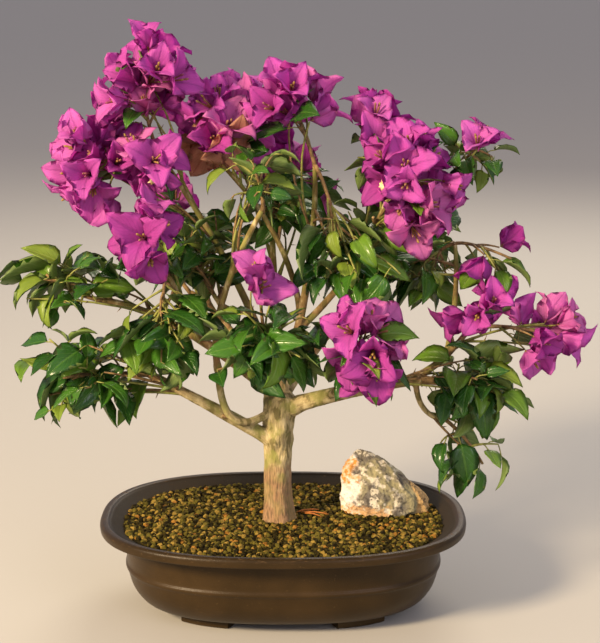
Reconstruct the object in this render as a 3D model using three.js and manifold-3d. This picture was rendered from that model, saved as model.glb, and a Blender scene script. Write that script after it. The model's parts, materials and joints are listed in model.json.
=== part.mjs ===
// A bougainvillea bonsai in an oval training pot: a short trunk, two spreading boughs, a fan of leaders,
// and masses of leaves and three-bract blooms on twigs. Millimetres, +Z up, the viewer on the -Y side.
import * as THREE from "three";
import { mergeVertices } from "three/addons/utils/BufferGeometryUtils.js";
import Module from "manifold-3d";

const wasm = await Module();
wasm.setup();

// Driving dimensions

const CLEARANCE = 0.3; // the gap between neighbouring pieces

const POT = {
  length: 305,
  depth: 232,
  height: 78,
  squareness: 2.5, // exponent of the oval: 2 is an ellipse, more is squarer
  facets: 32,
  wall: 4.5,
  wallInset: 22, // the wall's outer face at the bead, in from the lip's edge
  wallLean: 2.5, // how much further out the wall stands under the lip
  bead: { height: 40, proud: 1.4, halfWidth: 2.5 }, // the raised line round the wall
  lipHeight: 8,
  lipRound: 2.2,
  lipFlat: 5, // where the lip's top starts to slope down to the soil
  soilInset: 18.5, // where the soil meets that slope
  soilDish: 3.2, // how far under the soil's top the slope meets the wall
  heel: [[12, 5], [3.5, 17]], // the rounded heel: [in from the wall, up from the underside]
  heelInside: [7, 8], // and inside, from the wall's inner face and the floor
  floorInset: 46, // where the heel meets the flat underside
  footHeight: 6,
  footInset: 47,
  footWidth: 17,
  footAngles: [42, 70], // degrees round the oval, in each quarter
  footSteps: 4,
};

const SOIL_LEVEL = 71;

const ROCK = {
  centre: [89, 30],
  size: [78, 54, 49],
  squareness: 2.3, // exponent of its rounding: 2 is an egg, more is blockier
  peakShift: -14, // how far to the left of its middle the peak lies
  baseCut: 0.5, // how far under its middle the stone is cut flat, as a share of its half size
  narrowing: 0.31, // towards the peak
  roughness: 0.06,
  waves: [4.1, 4.3, 6.1], // how close its lumps lie along, across and up
  phases: [2.4, 0.4],
  ridges: 0.6, // how strong the slanting ridges are beside the lumps
  slant: 2.2,
  detail: 2,
};

const TRUNK = {
  foot: [-4, 0, SOIL_LEVEL + CLEARANCE],
  top: [-2, 0, 182],
  bow: [-2, 1, 0],
  flareRadius: 14.5,
  flareHeight: 14,
  waistRadius: 11.2,
  crownRadius: 13.4,
  rootLobes: 5,
  lobeDepth: 0.1,
  facets: 14,
  rings: [0, 0.05, 0.12, 0.24, 0.4, 0.55, 0.7, 0.84, 0.94], // shares of the height
  swell: [0.45, 0.95], // between these the trunk widens to its fork
  shoulder: 0.72, // of the crown radius, at the top
  cap: 1.03, // the peak of the rounded top, as a share of the height
};

// A bough has more rings near its foot, where the collar is, and a dome for a tip.
const LIMB = { facets: 5, rings: 4, crowding: 1.15, collar: 1.3, collarEnd: 0.1, dome: 0.7 };

const SIDEWAYS = new THREE.Vector3(0.31, 0.83, 0.46); // no limb runs this way
const WHORL_START = new THREE.Vector3(0.37, -0.21, 0.9); // nor does a whorl's axis stand so

// How many steps stand for a limb when leaves are kept clear of it, and how near a leaf's tests begin.
const CHAIN = { trunk: 6, bough: 10, stem: 5, nearby: 20 };

// Each bough: what it grows from and how far along, its tip, how its middle bows out, and its radii.
const BOUGHS = {
  left_low_bough: { on: "trunk", at: 0.6, tip: [-108, -26, 203], bow: [0, -4, 2], radii: [6.4, 3] },
  right_bough: { on: "trunk", at: 0.86, tip: [112, -30, 200], bow: [0, -4, 4], radii: [7.6, 4.2] },
  left_high_bough: { on: "trunk", at: 0.93, tip: [-148, 6, 258], bow: [-4, 8, 14], radii: [5, 2.5] },
  centre_leader: { on: "trunk", at: 0.98, tip: [26, 4, 368], bow: [8, 8, 0], radii: [4.4, 2] },
  left_leader: { on: "trunk", at: 0.97, tip: [-98, -4, 378], bow: [12, 20, -8], radii: [4, 2] },
  back_leader: { on: "trunk", at: 0.95, tip: [-12, 66, 346], bow: [0, 18, -6], radii: [4, 2.1] },
  back_left_bough: { on: "trunk", at: 0.9, tip: [-80, 70, 252], bow: [0, 10, 8], radii: [4.2, 2.2] },
  back_right_bough: { on: "trunk", at: 0.9, tip: [82, 70, 258], bow: [0, 10, 8], radii: [4.2, 2.2] },
  front_branch: { on: "trunk", at: 0.92, tip: [-12, -46, 226], bow: [0, -8, 4], radii: [3.6, 2] },
  hook: { on: "trunk", at: 0.9, tip: [-52, -24, 206], bow: [-11, -10, -25], radii: [3.6, 3] },
  front_leader: { on: "hook", at: 1, tip: [-16, -38, 338], bow: [-14, -2, -8], radii: [3, 2.3] },
  mid_leader: { on: "centre_leader", at: 0.34, tip: [-50, 18, 368], bow: [12, 14, 0], radii: [2.8, 1.8] },
  right_leader: { on: "centre_leader", at: 0.28, tip: [88, 6, 350], bow: [6, 12, -10], radii: [3.2, 2] },
  right_top_fork: { on: "right_leader", at: 0.8, tip: [146, 8, 372], bow: [2, 4, -8], radii: [2.2, 1.6] },
  left_fork: { on: "left_high_bough", at: 0.42, tip: [-90, -38, 286], bow: [2, -8, 0], radii: [2.8, 1.9] },
  inner_fork: { on: "left_leader", at: 0.38, tip: [-58, -14, 272], bow: [-4, -4, -6], radii: [2.6, 1.8] },
  front_fork: { on: "right_bough", at: 0.36, tip: [52, -68, 228], bow: [0, -10, -4], radii: [3, 2] },
  right_riser: { on: "right_bough", at: 0.9, tip: [150, -20, 239], bow: [2, 4, -6], radii: [3.6, 2.2] },
  right_upright: { on: "right_riser", at: 0.6, tip: [140, 4, 304], bow: [4, 4, 0], radii: [2.6, 1.8] },
  right_drop: { on: "right_bough", at: 0.96, tip: [132, -32, 166], bow: [-6, -2, -6], radii: [2.6, 1.9] },
};

// Each mass: the bough that carries it, the middle and reach of its space, its shoots and how many bloom.
const MASSES = {
  crest_left: { on: "left_leader", centre: [-108, 0, 429], reach: [49, 56, 62], shoots: 17, blooms: 17 },
  left_shoulder: { on: "left_leader", centre: [-144, -10, 370], reach: [52, 50, 68], shoots: 12, blooms: 12 },
  left_middle: { on: "left_leader", centre: [-104, -24, 372], reach: [44, 46, 44], shoots: 8, blooms: 8 },
  crest_mid_left: { on: "mid_leader", centre: [-48, 18, 398], reach: [52, 58, 48], shoots: 15, blooms: 15 },
  crest_mid: { on: "centre_leader", centre: [8, -2, 414], reach: [50, 56, 48], shoots: 13, blooms: 13 },
  crest_right: { on: "right_leader", centre: [68, 10, 388], reach: [46, 58, 46], shoots: 14, blooms: 13 },
  right_shoulder: { on: "right_leader", centre: [106, -22, 356], reach: [52, 56, 62], shoots: 15, blooms: 15 },
  right_top: { on: "right_top_fork", centre: [152, 4, 380], reach: [42, 46, 36], shoots: 5, blooms: 3 },
  right_mid: { on: "right_upright", centre: [172, -10, 298], reach: [42, 46, 40], shoots: 4, blooms: 3 },
  right_inner: { on: "right_upright", centre: [114, 24, 278], reach: [52, 60, 40], shoots: 4, blooms: 0 },
  right_tip: { on: "right_riser", centre: [210, -22, 234], reach: [48, 50, 44], shoots: 8, blooms: 8 },
  right_reach: { on: "right_riser", centre: [158, -17, 259], reach: [46, 48, 40], shoots: 6, blooms: 6 },
  right_pad: { on: "right_bough", centre: [152, -46, 200], reach: [62, 56, 46], shoots: 7, blooms: 0 },
  right_drop_leaves: { on: "right_drop", centre: [154, -34, 140], reach: [40, 42, 46], shoots: 2, blooms: 0 },
  front_bloom: { on: "front_fork", centre: [62, -112, 245], reach: [50, 46, 48], shoots: 12, blooms: 11 },
  centre_upper: { on: "centre_leader", centre: [52, -26, 294], reach: [58, 58, 42], shoots: 8, blooms: 0 },
  inner_leaves: { on: "front_leader", centre: [-20, -48, 362], reach: [42, 42, 42], shoots: 4, blooms: 0 },
  centre_front: { on: "front_branch", centre: [-10, -88, 241], reach: [60, 52, 47], shoots: 8, blooms: 0 },
  centre_bloom: { on: "front_branch", centre: [-17, -50, 286], reach: [38, 42, 36], shoots: 3, blooms: 3 },
  mid_left_bloom: { on: "left_fork", centre: [-107, -66, 323], reach: [36, 42, 46], shoots: 7, blooms: 7 },
  left_inner: { on: "left_fork", centre: [-92, -54, 240], reach: [62, 54, 44], shoots: 9, blooms: 0 },
  left_tip: { on: "left_high_bough", centre: [-178, -2, 274], reach: [62, 58, 38], shoots: 7, blooms: 0 },
  left_upper: { on: "inner_fork", centre: [-70, 2, 292], reach: [56, 54, 42], shoots: 8, blooms: 0 },
  left_low: { on: "left_low_bough", centre: [-157, -42, 205], reach: [62, 58, 50], shoots: 8, blooms: 0 },
  back_left: { on: "back_left_bough", centre: [-100, 106, 300], reach: [62, 54, 60], shoots: 7, blooms: 2 },
  back_right: { on: "back_right_bough", centre: [104, 106, 300], reach: [62, 54, 60], shoots: 7, blooms: 3 },
  back_mid: { on: "back_leader", centre: [6, 116, 338], reach: [60, 52, 58], shoots: 7, blooms: 4 },
  back_crest: { on: "back_leader", centre: [-34, 80, 396], reach: [64, 54, 50], shoots: 12, blooms: 11 },
};

// Sizes of the growing rule that every mass follows.
const GROWTH = {
  goldenAngle: Math.PI * (3 - Math.sqrt(5)),
  stemRadii: [2.2, 1.7],
  stemClearance: CLEARANCE + 0.1, // between a bough's tip and the stem
  stemShare: 0.3, // how far past the middle of its space the stem ends, as a share of the reach
  stemSag: 0.04, // of the stem's length
  twigRadii: [0.9, 0.9],
  twigFoot: { middle: 0.55, lead: 0.9, range: [0.2, 0.97] }, // where along the stem a twig starts
  leafShares: [0.36, 0.66], // where a leafy shoot's tip lies between the middle and the edge of the space
  bloomShares: [0.34, 0.62], // and a blooming one's
  outwardPull: 0.8, // how much a whorl's axis turns from its twig towards the light
  tries: [1, 0.8, 0.62, 0.45], // a shoot or leaf that doesn't fit is tried shorter, then skipped
  leavesOnShoot: 4,
  fewestLeaves: 3, // a whorl with less room than this isn't grown
  leafLengths: [44, 60],
  leafWidth: 0.58, // of the length
  leafWidest: 0.4, // where along the leaf
  leafNotch: 2.6, // how far the notch between two leaves lies from the heart
  leafCrowding: 0.46, // how much of the gap to its neighbour half a leaf may take
  leafSlip: 0.4, // how unevenly the leaves stand round the shoot
  leafOpening: 1.25, // radians from the whorl's axis
  leafTurns: [-0.8, 0.9], // the cosines that droop may turn the opening to
  leafDroop: 0.75,
  leastDroop: 0.3, // a share of the droop that even the shortest leaf has
  leafHalfAngle: 0.6,
  bractLengths: [28, 35],
  bractNotch: 0.55, // of the bract's length
  bractOpening: [46, 68], // degrees from the bloom's axis
  bractKept: 0.4, // the share of its length that a bract on a shortened shoot keeps
  bractHalfAngle: Math.PI / 3,
  heartAbove: 2.4, // how thick a whorl is over and under its heart
  heartBelow: 1.8,
  heartMiddle: 15, // how far along its axis a whorl's middle lies
  limbMargin: 2.2,
  twigMargin: 1.5,
  spaceMargin: 0.25,
  whorlSpacing: 28,
  bloomSpacing: 27,
};

// Where a twig and a blade are tested: shares of the length, and [side, share] for a blade's edges.
const TWIG_TESTS = [0.25, 0.4, 0.55, 0.7, 0.85, 1];
const BLADE_TESTS = [0.15, 0.3, 0.45, 0.6, 0.8, 1];
const EDGE_TESTS = [[1, 0.25], [1, 0.45], [0.4, 0.7]];

const COLOURS = {
  pot: [0x4a3a28, 0.4],
  soil: [0x4b4630, 0.95],
  rock: [0xb9a789, 0.85],
  bark: [0x9a8560, 0.85],
  foliage: [0x2f6b2a, 0.45],
  bloom: [0xb43aa6, 0.6],
};

// Solids and geometries

/** A closed geometry as a solid that can be joined and cut. */
function solidOf(geometry) {
  const bare = new THREE.BufferGeometry();
  bare.setAttribute("position", geometry.getAttribute("position"));
  bare.setIndex(geometry.index);
  const merged = mergeVertices(bare, 1e-4);
  const vertProperties = new Float32Array(merged.attributes.position.array);
  const triVerts = new Uint32Array(merged.index.array);
  return new wasm.Manifold(new wasm.Mesh({ numProp: 3, vertProperties, triVerts }));
}

/** A solid back as a geometry that a mesh can show. */
function geometryOf(solid) {
  const { vertProperties, triVerts } = solid.getMesh();
  const geometry = new THREE.BufferGeometry();
  geometry.setAttribute("position", new THREE.BufferAttribute(vertProperties, 3));
  geometry.setIndex(new THREE.BufferAttribute(triVerts, 1));
  geometry.computeVertexNormals();
  return geometry;
}

/** The largest body of a solid: loose scraps go, and a sealed hollow is filled. */
function largestBody(solid) {
  const bodies = solid.decompose();
  return bodies.reduce((best, body) => (body.volume() > best.volume() ? body : best));
}

function moveVertices(geometry, place) {
  const position = geometry.getAttribute("position");
  const point = new THREE.Vector3();
  for (let i = 0; i < position.count; i++) {
    point.fromBufferAttribute(position, i);
    place(point);
    position.setXYZ(i, point.x, point.y, point.z);
  }
  return geometry;
}

/** Evenly spaced shares from 0 to 1. */
function evenShares(steps) {
  return Array.from({ length: steps + 1 }, (_, i) => i / steps);
}

function vector(numbers) {
  return new THREE.Vector3(...numbers);
}

/** A steady stream of numbers from 0 to 1 for one seed. */
function seededRandom(seed) {
  const modulus = 2147483647;
  let state = seed * 7919 + 17;
  return () => {
    state = (state * 16807) % modulus;
    return state / modulus;
  };
}

// The pot, its soil and its rock

/** A point of the pot's oval, which is inset from the lip's outer edge all round. */
function ovalPoint(inset, angle) {
  const power = 2 / POT.squareness;
  const share = (x) => Math.sign(x) * Math.abs(x) ** power;
  const halfLength = Math.max(POT.length / 2 - inset, 0);
  const halfDepth = Math.max(POT.depth / 2 - inset, 0);
  return [halfLength * share(Math.cos(angle)), halfDepth * share(Math.sin(angle))];
}

/** A lathe round the oval: each profile point is [inset, height], and "axis" stands for the middle. */
function ovalLathe(profile) {
  const middle = POT.length / 2;
  const points = profile.map(([inset, height]) => {
    return new THREE.Vector2(inset === "axis" ? 0 : middle - inset, height);
  });
  const lathe = new THREE.LatheGeometry(points, POT.facets);
  return moveVertices(lathe, (p) => {
    const radius = Math.hypot(p.x, p.z);
    const [x, y] = radius < 1e-6 ? [0, 0] : ovalPoint(middle - radius, Math.atan2(p.x, p.z) - Math.PI / 2);
    p.set(x, y, p.y);
  });
}

/** The inside of the pot from the floor's edge to the lip, narrowed by a gap. */
function potInside(gap) {
  const { wall, wallInset, wallLean, heelInside, soilInset, soilDish } = POT;
  const [heelIn, heelUp] = heelInside;
  const side = wallInset + wall + gap;
  const floorHeight = POT.footHeight + wall + gap;
  const slope = wallInset + wall - wallLean - soilInset;
  const slopeGap = (gap * Math.hypot(slope, soilDish)) / soilDish;
  const dish = (soilDish * (slope + gap - slopeGap)) / slope;
  return [
    [POT.floorInset + wall + gap, floorHeight],
    [side + heelIn, floorHeight + heelUp],
    [side, POT.bead.height],
    [side - wallLean, SOIL_LEVEL - dish],
    [soilInset + slopeGap, SOIL_LEVEL],
  ];
}

function potSolid() {
  const { footHeight, floorInset, heel, bead, wallInset, wallLean, height, lipHeight, lipRound } = POT;
  const underLip = height - lipHeight;
  const outside = [
    ["axis", footHeight],
    [floorInset, footHeight],
    ...heel.map(([inward, up]) => [wallInset + inward, footHeight + up]),
    [wallInset, bead.height - bead.halfWidth],
    [wallInset - bead.proud, bead.height],
    [wallInset, bead.height + bead.halfWidth],
    [wallInset - wallLean, underLip - lipRound],
    [lipRound, underLip],
    [0, height - lipRound],
    [lipRound, height],
    [POT.lipFlat, height],
  ];
  const inside = potInside(0).reverse();
  const bowl = ovalLathe([...outside, ...inside, ["axis", footHeight + POT.wall]]);
  const quarters = [0, 1, 2, 3];
  return quarters.reduce((solid, quarter) => solid.add(solidOf(footGeometry(quarter))), solidOf(bowl));
}

/** One curved foot pad under a quarter of the oval. */
function footGeometry(quarter) {
  const [from, to] = POT.footAngles.map((a) => THREE.MathUtils.degToRad(quarter % 2 ? 180 - a : a));
  const turn = quarter > 1 ? Math.PI : 0;
  const arc = (inset, share) => ovalPoint(inset, turn + from + (to - from) * share);
  const shares = evenShares(POT.footSteps);
  const outer = shares.map((share) => new THREE.Vector2(...arc(POT.footInset, share)));
  const inner = shares.map((share) => new THREE.Vector2(...arc(POT.footInset + POT.footWidth, share)));
  const outline = new THREE.Shape([...outer, ...inner.reverse()]);
  const depth = POT.footHeight + POT.wall / 2;
  return new THREE.ExtrudeGeometry(outline, { depth, bevelEnabled: false });
}

function soilSolid() {
  const sides = potInside(CLEARANCE);
  const floorHeight = sides[0][1];
  return solidOf(ovalLathe([["axis", floorHeight], ...sides, ["axis", SOIL_LEVEL]]));
}

/** A rough stone with a flat base and an off-centre peak, lying on the soil. */
function rockSolid() {
  const { squareness, waves, phases, ridges, slant, baseCut } = ROCK;
  const [length, depth, height] = ROCK.size;
  const [x, y] = ROCK.centre;
  const base = SOIL_LEVEL + CLEARANCE;
  const stone = moveVertices(new THREE.IcosahedronGeometry(1, ROCK.detail), (p) => {
    const powers = p.toArray().map((value) => Math.abs(value) ** squareness);
    p.divideScalar((powers[0] + powers[1] + powers[2]) ** (1 / squareness));
    const lumps = Math.sin(waves[0] * p.x + phases[0]) * Math.sin(waves[1] * p.y + phases[1]);
    const ridge = ridges * Math.sin(waves[2] * p.z + slant * p.x);
    p.multiplyScalar(1 + ROCK.roughness * (lumps + ridge));
    const rise = Math.max(p.z, -baseCut) + baseCut;
    const narrowing = 1 - ROCK.narrowing * rise;
    p.set(
      x + (length / 2) * p.x * narrowing + ROCK.peakShift * rise,
      y + (depth / 2) * p.y * narrowing,
      base + (height / (1 + baseCut)) * rise,
    );
  });
  return solidOf(stone);
}

// Wood

/** Bends a geometry whose Y runs from 0 to 1 along a curve; past 1 it goes straight on. */
function bendAlong(geometry, curve) {
  const length = curve.getLength();
  const side = new THREE.Vector3();
  const other = new THREE.Vector3();
  return moveVertices(geometry, (p) => {
    const t = THREE.MathUtils.clamp(p.y, 0, 1);
    const tangent = curve.getTangent(t);
    side.crossVectors(tangent, SIDEWAYS).normalize();
    other.crossVectors(side, tangent);
    const { x, z } = p;
    const past = (p.y - t) * length;
    p.copy(curve.getPoint(t)).addScaledVector(tangent, past);
    p.addScaledVector(side, x).addScaledVector(other, z);
  });
}

/** A curve between two points whose middle stands off the straight line by a bow. */
function bowedCurve(from, to, bow) {
  const middle = from.clone().add(to).multiplyScalar(0.5).addScaledVector(bow, 2);
  return new THREE.QuadraticBezierCurve3(from, middle, to);
}

const smooth = (low, high, x) => THREE.MathUtils.smoothstep(x, low, high);

/** The trunk's radius at a share of its height: flared at the root, swollen at the fork. */
function trunkRadius(t, height) {
  const flare = Math.exp(-(t * height) / TRUNK.flareHeight);
  const swell = smooth(...TRUNK.swell, t);
  const { waistRadius, flareRadius, crownRadius } = TRUNK;
  return waistRadius + (flareRadius - waistRadius) * flare + (crownRadius - waistRadius) * swell;
}

const trunkCurve = bowedCurve(vector(TRUNK.foot), vector(TRUNK.top), vector(TRUNK.bow));

/** The trunk on its flat cut, with root lobes that fade upwards; extra makes it that much thicker. */
function trunkSolid(extra = 0) {
  const height = trunkCurve.getLength();
  const side = TRUNK.rings.map((t) => new THREE.Vector2(trunkRadius(t, height) + extra, t));
  const shoulder = new THREE.Vector2(TRUNK.crownRadius * TRUNK.shoulder + extra, 1);
  const top = new THREE.Vector2(0, TRUNK.cap);
  const foot = new THREE.Vector2(0, 0);
  const lathe = new THREE.LatheGeometry([foot, ...side, shoulder, top], TRUNK.facets);
  moveVertices(lathe, (p) => {
    const angle = Math.atan2(p.x, p.z);
    const fade = Math.exp((-p.y * height) / TRUNK.flareHeight);
    const lobe = 1 + TRUNK.lobeDepth * fade * Math.cos(TRUNK.rootLobes * angle);
    p.set(p.x * lobe, p.y, p.z * lobe);
  });
  return solidOf(
    moveVertices(lathe, (p) => {
      const axis = trunkCurve.getPoint(Math.min(p.y, 1));
      const past = Math.max(p.y - 1, 0) * height;
      p.set(axis.x + p.x, axis.y - p.z, axis.z + past);
    }),
  );
}

/** A bough's radius at a share of its length, with a collar where it leaves its parent. */
function boughRadius(bough, t) {
  const [foot, tip] = bough.radii;
  const collar = 1 + (LIMB.collar - 1) * (1 - smooth(0, LIMB.collarEnd, t));
  return (foot + (tip - foot) * t) * collar;
}

/** A bough along its curve with a domed tip; extra makes it that much thicker. */
function boughSolid(bough, extra = 0) {
  const length = bough.curve.getLength();
  const tipRadius = bough.radii[1] + extra;
  const shares = evenShares(LIMB.rings).map((share) => share ** LIMB.crowding);
  const side = shares.map((t) => new THREE.Vector2(boughRadius(bough, t) + extra, t));
  const domeRadius = tipRadius * LIMB.dome;
  const dome = new THREE.Vector2(domeRadius, 1 + domeRadius / length);
  const apex = new THREE.Vector2(0, 1 + tipRadius / length);
  const lathe = new THREE.LatheGeometry([new THREE.Vector2(0, 0), ...side, dome, apex], LIMB.facets);
  return solidOf(bendAlong(lathe, bough.curve));
}

/** The boughs with their curves, each from its place on its parent's axis to its tip. */
function routedBoughs() {
  const curves = { trunk: trunkCurve };
  return Object.entries(BOUGHS).map(([name, bough]) => {
    const foot = curves[bough.on].getPoint(bough.at);
    curves[name] = bowedCurve(foot, vector(bough.tip), vector(bough.bow));
    return { ...bough, name, curve: curves[name] };
  });
}

const boughs = routedBoughs();

/** Every bough cut clear of the wood that it grows from, and all the wood, grown by the gap, in one solid. */
function growWood() {
  let wood = trunkSolid(CLEARANCE);
  const solids = boughs.map((bough) => {
    const solid = largestBody(boughSolid(bough).subtract(wood));
    wood = wood.add(boughSolid(bough, CLEARANCE));
    return solid;
  });
  return { solids, wood };
}

// Twigs, leaves and blooms

/** A three-sided tapering twig along a curve. */
function twigSolid(curve, radii, segments) {
  const [foot, tip] = radii;
  const sides = 3;
  const prism = new THREE.CylinderGeometry(tip, foot, 1, sides, segments).translate(0, 0.5, 0);
  return solidOf(bendAlong(prism, curve));
}

/** A point of a whorl: an angle round its axis, an opening from the axis and a distance from the heart. */
function whorlPoint(whorl, { angle, opening, reach }) {
  const flat = reach * Math.sin(opening);
  return whorl.heart
    .clone()
    .addScaledVector(whorl.axis, reach * Math.cos(opening))
    .addScaledVector(whorl.side, flat * Math.cos(angle))
    .addScaledVector(whorl.other, flat * Math.sin(angle));
}

/** The rim round a whorl of leaves: a notch, then a leaf's near edge, tip and far edge, and so on. */
function leafRim(whorl) {
  const { leaves } = whorl;
  const gaps = leaves.map((leaf, i) => {
    const turn = leaves[(i + 1) % leaves.length].angle - leaf.angle;
    return turn > 0 ? turn : turn + 2 * Math.PI;
  });
  return leaves.flatMap((leaf, i) => {
    const before = gaps[(i + leaves.length - 1) % leaves.length];
    const slope = GROWTH.leafWidth / (2 * GROWTH.leafWidest * Math.sin(leaf.opening));
    const room = GROWTH.leafCrowding * Math.min(before, gaps[i]);
    const spread = Math.min(Math.asin(Math.min(slope, 1)), room);
    const { angle, opening, reach } = leaf;
    return [
      { angle: angle - before / 2, opening, reach: GROWTH.leafNotch },
      { angle: angle - spread, opening, reach: GROWTH.leafWidest * reach },
      leaf,
      { angle: angle + spread, opening, reach: GROWTH.leafWidest * reach },
    ];
  });
}

/** The rim round a bloom: the tips of its three bracts and the notches between them. */
function bloomRim(whorl) {
  return [0, 1, 2, 3, 4, 5].map((step) => {
    const reach = (step % 2 ? GROWTH.bractNotch : 1) * whorl.length;
    return { angle: step * GROWTH.bractHalfAngle, opening: whorl.opening, reach };
  });
}

/**
 * Thin blades spreading from one heart: a fan over the whole rim, and under it a foot for the twig to enter.
 * The foot reaches every so many points of the rim, and the blades' undersides close the rest.
 */
function whorlSolid(whorl, rim, footStep) {
  const { heart, axis } = whorl;
  const above = heart.clone().addScaledVector(axis, GROWTH.heartAbove);
  const below = heart.clone().addScaledVector(axis, -GROWTH.heartBelow);
  const points = [...rim.map((point) => whorlPoint(whorl, point)), above, below];
  const top = rim.length;
  const foot = rim.length + 1;
  const faces = rim.flatMap((_, i) => [top, i, (i + 1) % rim.length]);
  for (let i = 0; i < rim.length; i += footStep) {
    const next = (i + footStep) % rim.length;
    faces.push(foot, next, i);
    if (footStep > 1) faces.push(i + 2, i + 1, i, i + 2, i, next, i + 2, next, i + 3);
  }
  const geometry = new THREE.BufferGeometry().setFromPoints(points);
  geometry.setIndex(faces);
  return solidOf(geometry);
}

/** A point at every leaf's or bract's middle, edges and tip, for testing that it keeps to its space. */
function bladePoints(whorl, { angle, opening, reach }, halfAngle) {
  const middle = BLADE_TESTS.map((share) => [0, share]);
  const edges = [-1, 1].flatMap((side) => EDGE_TESTS.map(([turn, share]) => [side * turn, share]));
  return [...middle, ...edges].map(([turn, share]) => {
    return whorlPoint(whorl, { angle: angle + turn * halfAngle, opening, reach: share * reach });
  });
}

/** Whether a point lies in a mass's own space: inside its reach, and on its side of every neighbour. */
function inSpace(mass, point, margin) {
  const offset = point.clone().sub(mass.middle);
  if (offset.clone().divide(mass.span).lengthSq() > 1) return false;
  return masses.every((other) => {
    if (other === mass) return true;
    const apart = other.middle.distanceTo(mass.middle);
    const own = offset.lengthSq() - mass.weight;
    const theirs = point.distanceToSquared(other.middle) - other.weight;
    return (theirs - own) / (2 * apart) > margin;
  });
}

/** A limb as a chain of points with radii, and the ball that holds it. */
function limbChain(curve, radiusAt, steps, of = null) {
  const shares = evenShares(steps);
  const points = shares.map((t) => curve.getPoint(t));
  const centre = curve.getPoint(0.5);
  const span = Math.max(...points.map((p) => p.distanceTo(centre))) + CHAIN.nearby;
  return { points, radii: shares.map(radiusAt), centre, span, of };
}

/** How far a point lies from the bark of a limb. */
function gapToLimb(limb, point) {
  const nearest = new THREE.Vector3();
  const gaps = limb.points.slice(1).map((end, i) => {
    new THREE.Line3(limb.points[i], end).closestPointToPoint(point, true, nearest);
    return nearest.distanceTo(point) - limb.radii[i];
  });
  return Math.min(...gaps);
}

/** Whether points stay clear of every limb, and of every other mass's stem. */
function clearOfLimbs(mass, points, limbs) {
  return limbs.every((limb) => {
    if (limb.of === mass) return true;
    const near = points.filter((point) => point.distanceTo(limb.centre) < limb.span);
    return near.every((point) => gapToLimb(limb, point) > GROWTH.limbMargin);
  });
}

/** The masses with their middles, spans, weights, seeds, and the stems that run in from the boughs. */
function routedMasses() {
  return Object.entries(MASSES).map(([name, mass], index) => {
    const bough = boughs.find((one) => one.name === mass.on);
    const middle = vector(mass.centre);
    const span = vector(mass.reach);
    const tip = vector(bough.tip);
    const aim = middle.clone().sub(tip).normalize();
    const reachAlong = 1 / aim.clone().divide(span).length();
    const start = tip.clone().addScaledVector(aim, bough.radii[1] + GROWTH.stemClearance);
    const end = middle.clone().addScaledVector(aim, GROWTH.stemShare * reachAlong);
    const sag = new THREE.Vector3(0, 0, -GROWTH.stemSag * start.distanceTo(end));
    const stem = bowedCurve(start, end, sag);
    return { ...mass, name, seed: index + 1, middle, span, weight: span.lengthSq() / 3, aim, stem };
  });
}

const masses = routedMasses();

const between = ([low, high], share) => low + (high - low) * share;

/** A direction on a golden-angle spiral from the top of a ball to its foot. */
function spiralDirection(index, count, turn) {
  const height = 1 - (2 * (index + 0.5)) / count;
  const angle = index * GROWTH.goldenAngle + turn;
  const flat = Math.sqrt(1 - height * height);
  return new THREE.Vector3(flat * Math.cos(angle), flat * Math.sin(angle), height);
}

/** A direction square to an axis, turned round it by an angle. */
function squareTo(axis, angle) {
  const start = WHORL_START.clone().cross(axis).normalize();
  return start.applyAxisAngle(axis, angle);
}

/** What one shoot of a mass needs to know, drawn in a fixed order. */
function drawShoot(mass, index, random) {
  const blooming = index < mass.blooms;
  const leafOrders = Array.from({ length: GROWTH.leavesOnShoot }, (_, order) => order);
  return {
    blooming,
    outward: spiralDirection(index, mass.shoots, mass.seed),
    share: between(blooming ? GROWTH.bloomShares : GROWTH.leafShares, random()),
    opening: THREE.MathUtils.degToRad(between(GROWTH.bractOpening, random())),
    turn: 2 * Math.PI * random(),
    bractLength: between(GROWTH.bractLengths, random()),
    leaves: leafOrders.map((order) => ({ order, slip: random() - 0.5, growth: random() })),
  };
}

/** A shoot's twig, from the stem abreast of it to its tip. */
function shootTwig(mass, shoot, shrink) {
  const reach = shoot.share * shrink;
  const tip = shoot.outward.clone().multiply(mass.span).multiplyScalar(reach).add(mass.middle);
  const ahead = tip.clone().sub(mass.middle).dot(mass.aim) / mass.span.length();
  const { middle, lead, range } = GROWTH.twigFoot;
  const foot = mass.stem.getPoint(THREE.MathUtils.clamp(middle + lead * ahead, ...range));
  return new THREE.LineCurve3(foot, tip);
}

/** The heart at a shoot's tip, with the axis that its leaves or bracts stand round. */
function shootWhorl(shoot, twig) {
  const axis = twig.getTangent(1).addScaledVector(shoot.outward, GROWTH.outwardPull).normalize();
  const side = squareTo(axis, shoot.turn);
  const other = new THREE.Vector3().crossVectors(axis, side);
  return { heart: twig.getPoint(1), axis, side, other };
}

/** One leaf of a whorl: it stands out from the axis and droops. */
function whorlLeaf(whorl, leaf, shrink) {
  const angle = ((leaf.order + GROWTH.leafSlip * leaf.slip) * 2 * Math.PI) / GROWTH.leavesOnShoot;
  const opening = GROWTH.leafOpening;
  const direction = whorlPoint(whorl, { angle, opening, reach: 1 }).sub(whorl.heart);
  direction.z -= GROWTH.leafDroop * (GROWTH.leastDroop + leaf.growth);
  direction.normalize();
  return {
    angle: Math.atan2(direction.dot(whorl.other), direction.dot(whorl.side)),
    opening: Math.acos(THREE.MathUtils.clamp(direction.dot(whorl.axis), ...GROWTH.leafTurns)),
    reach: between(GROWTH.leafLengths, leaf.growth) * shrink,
  };
}

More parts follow.
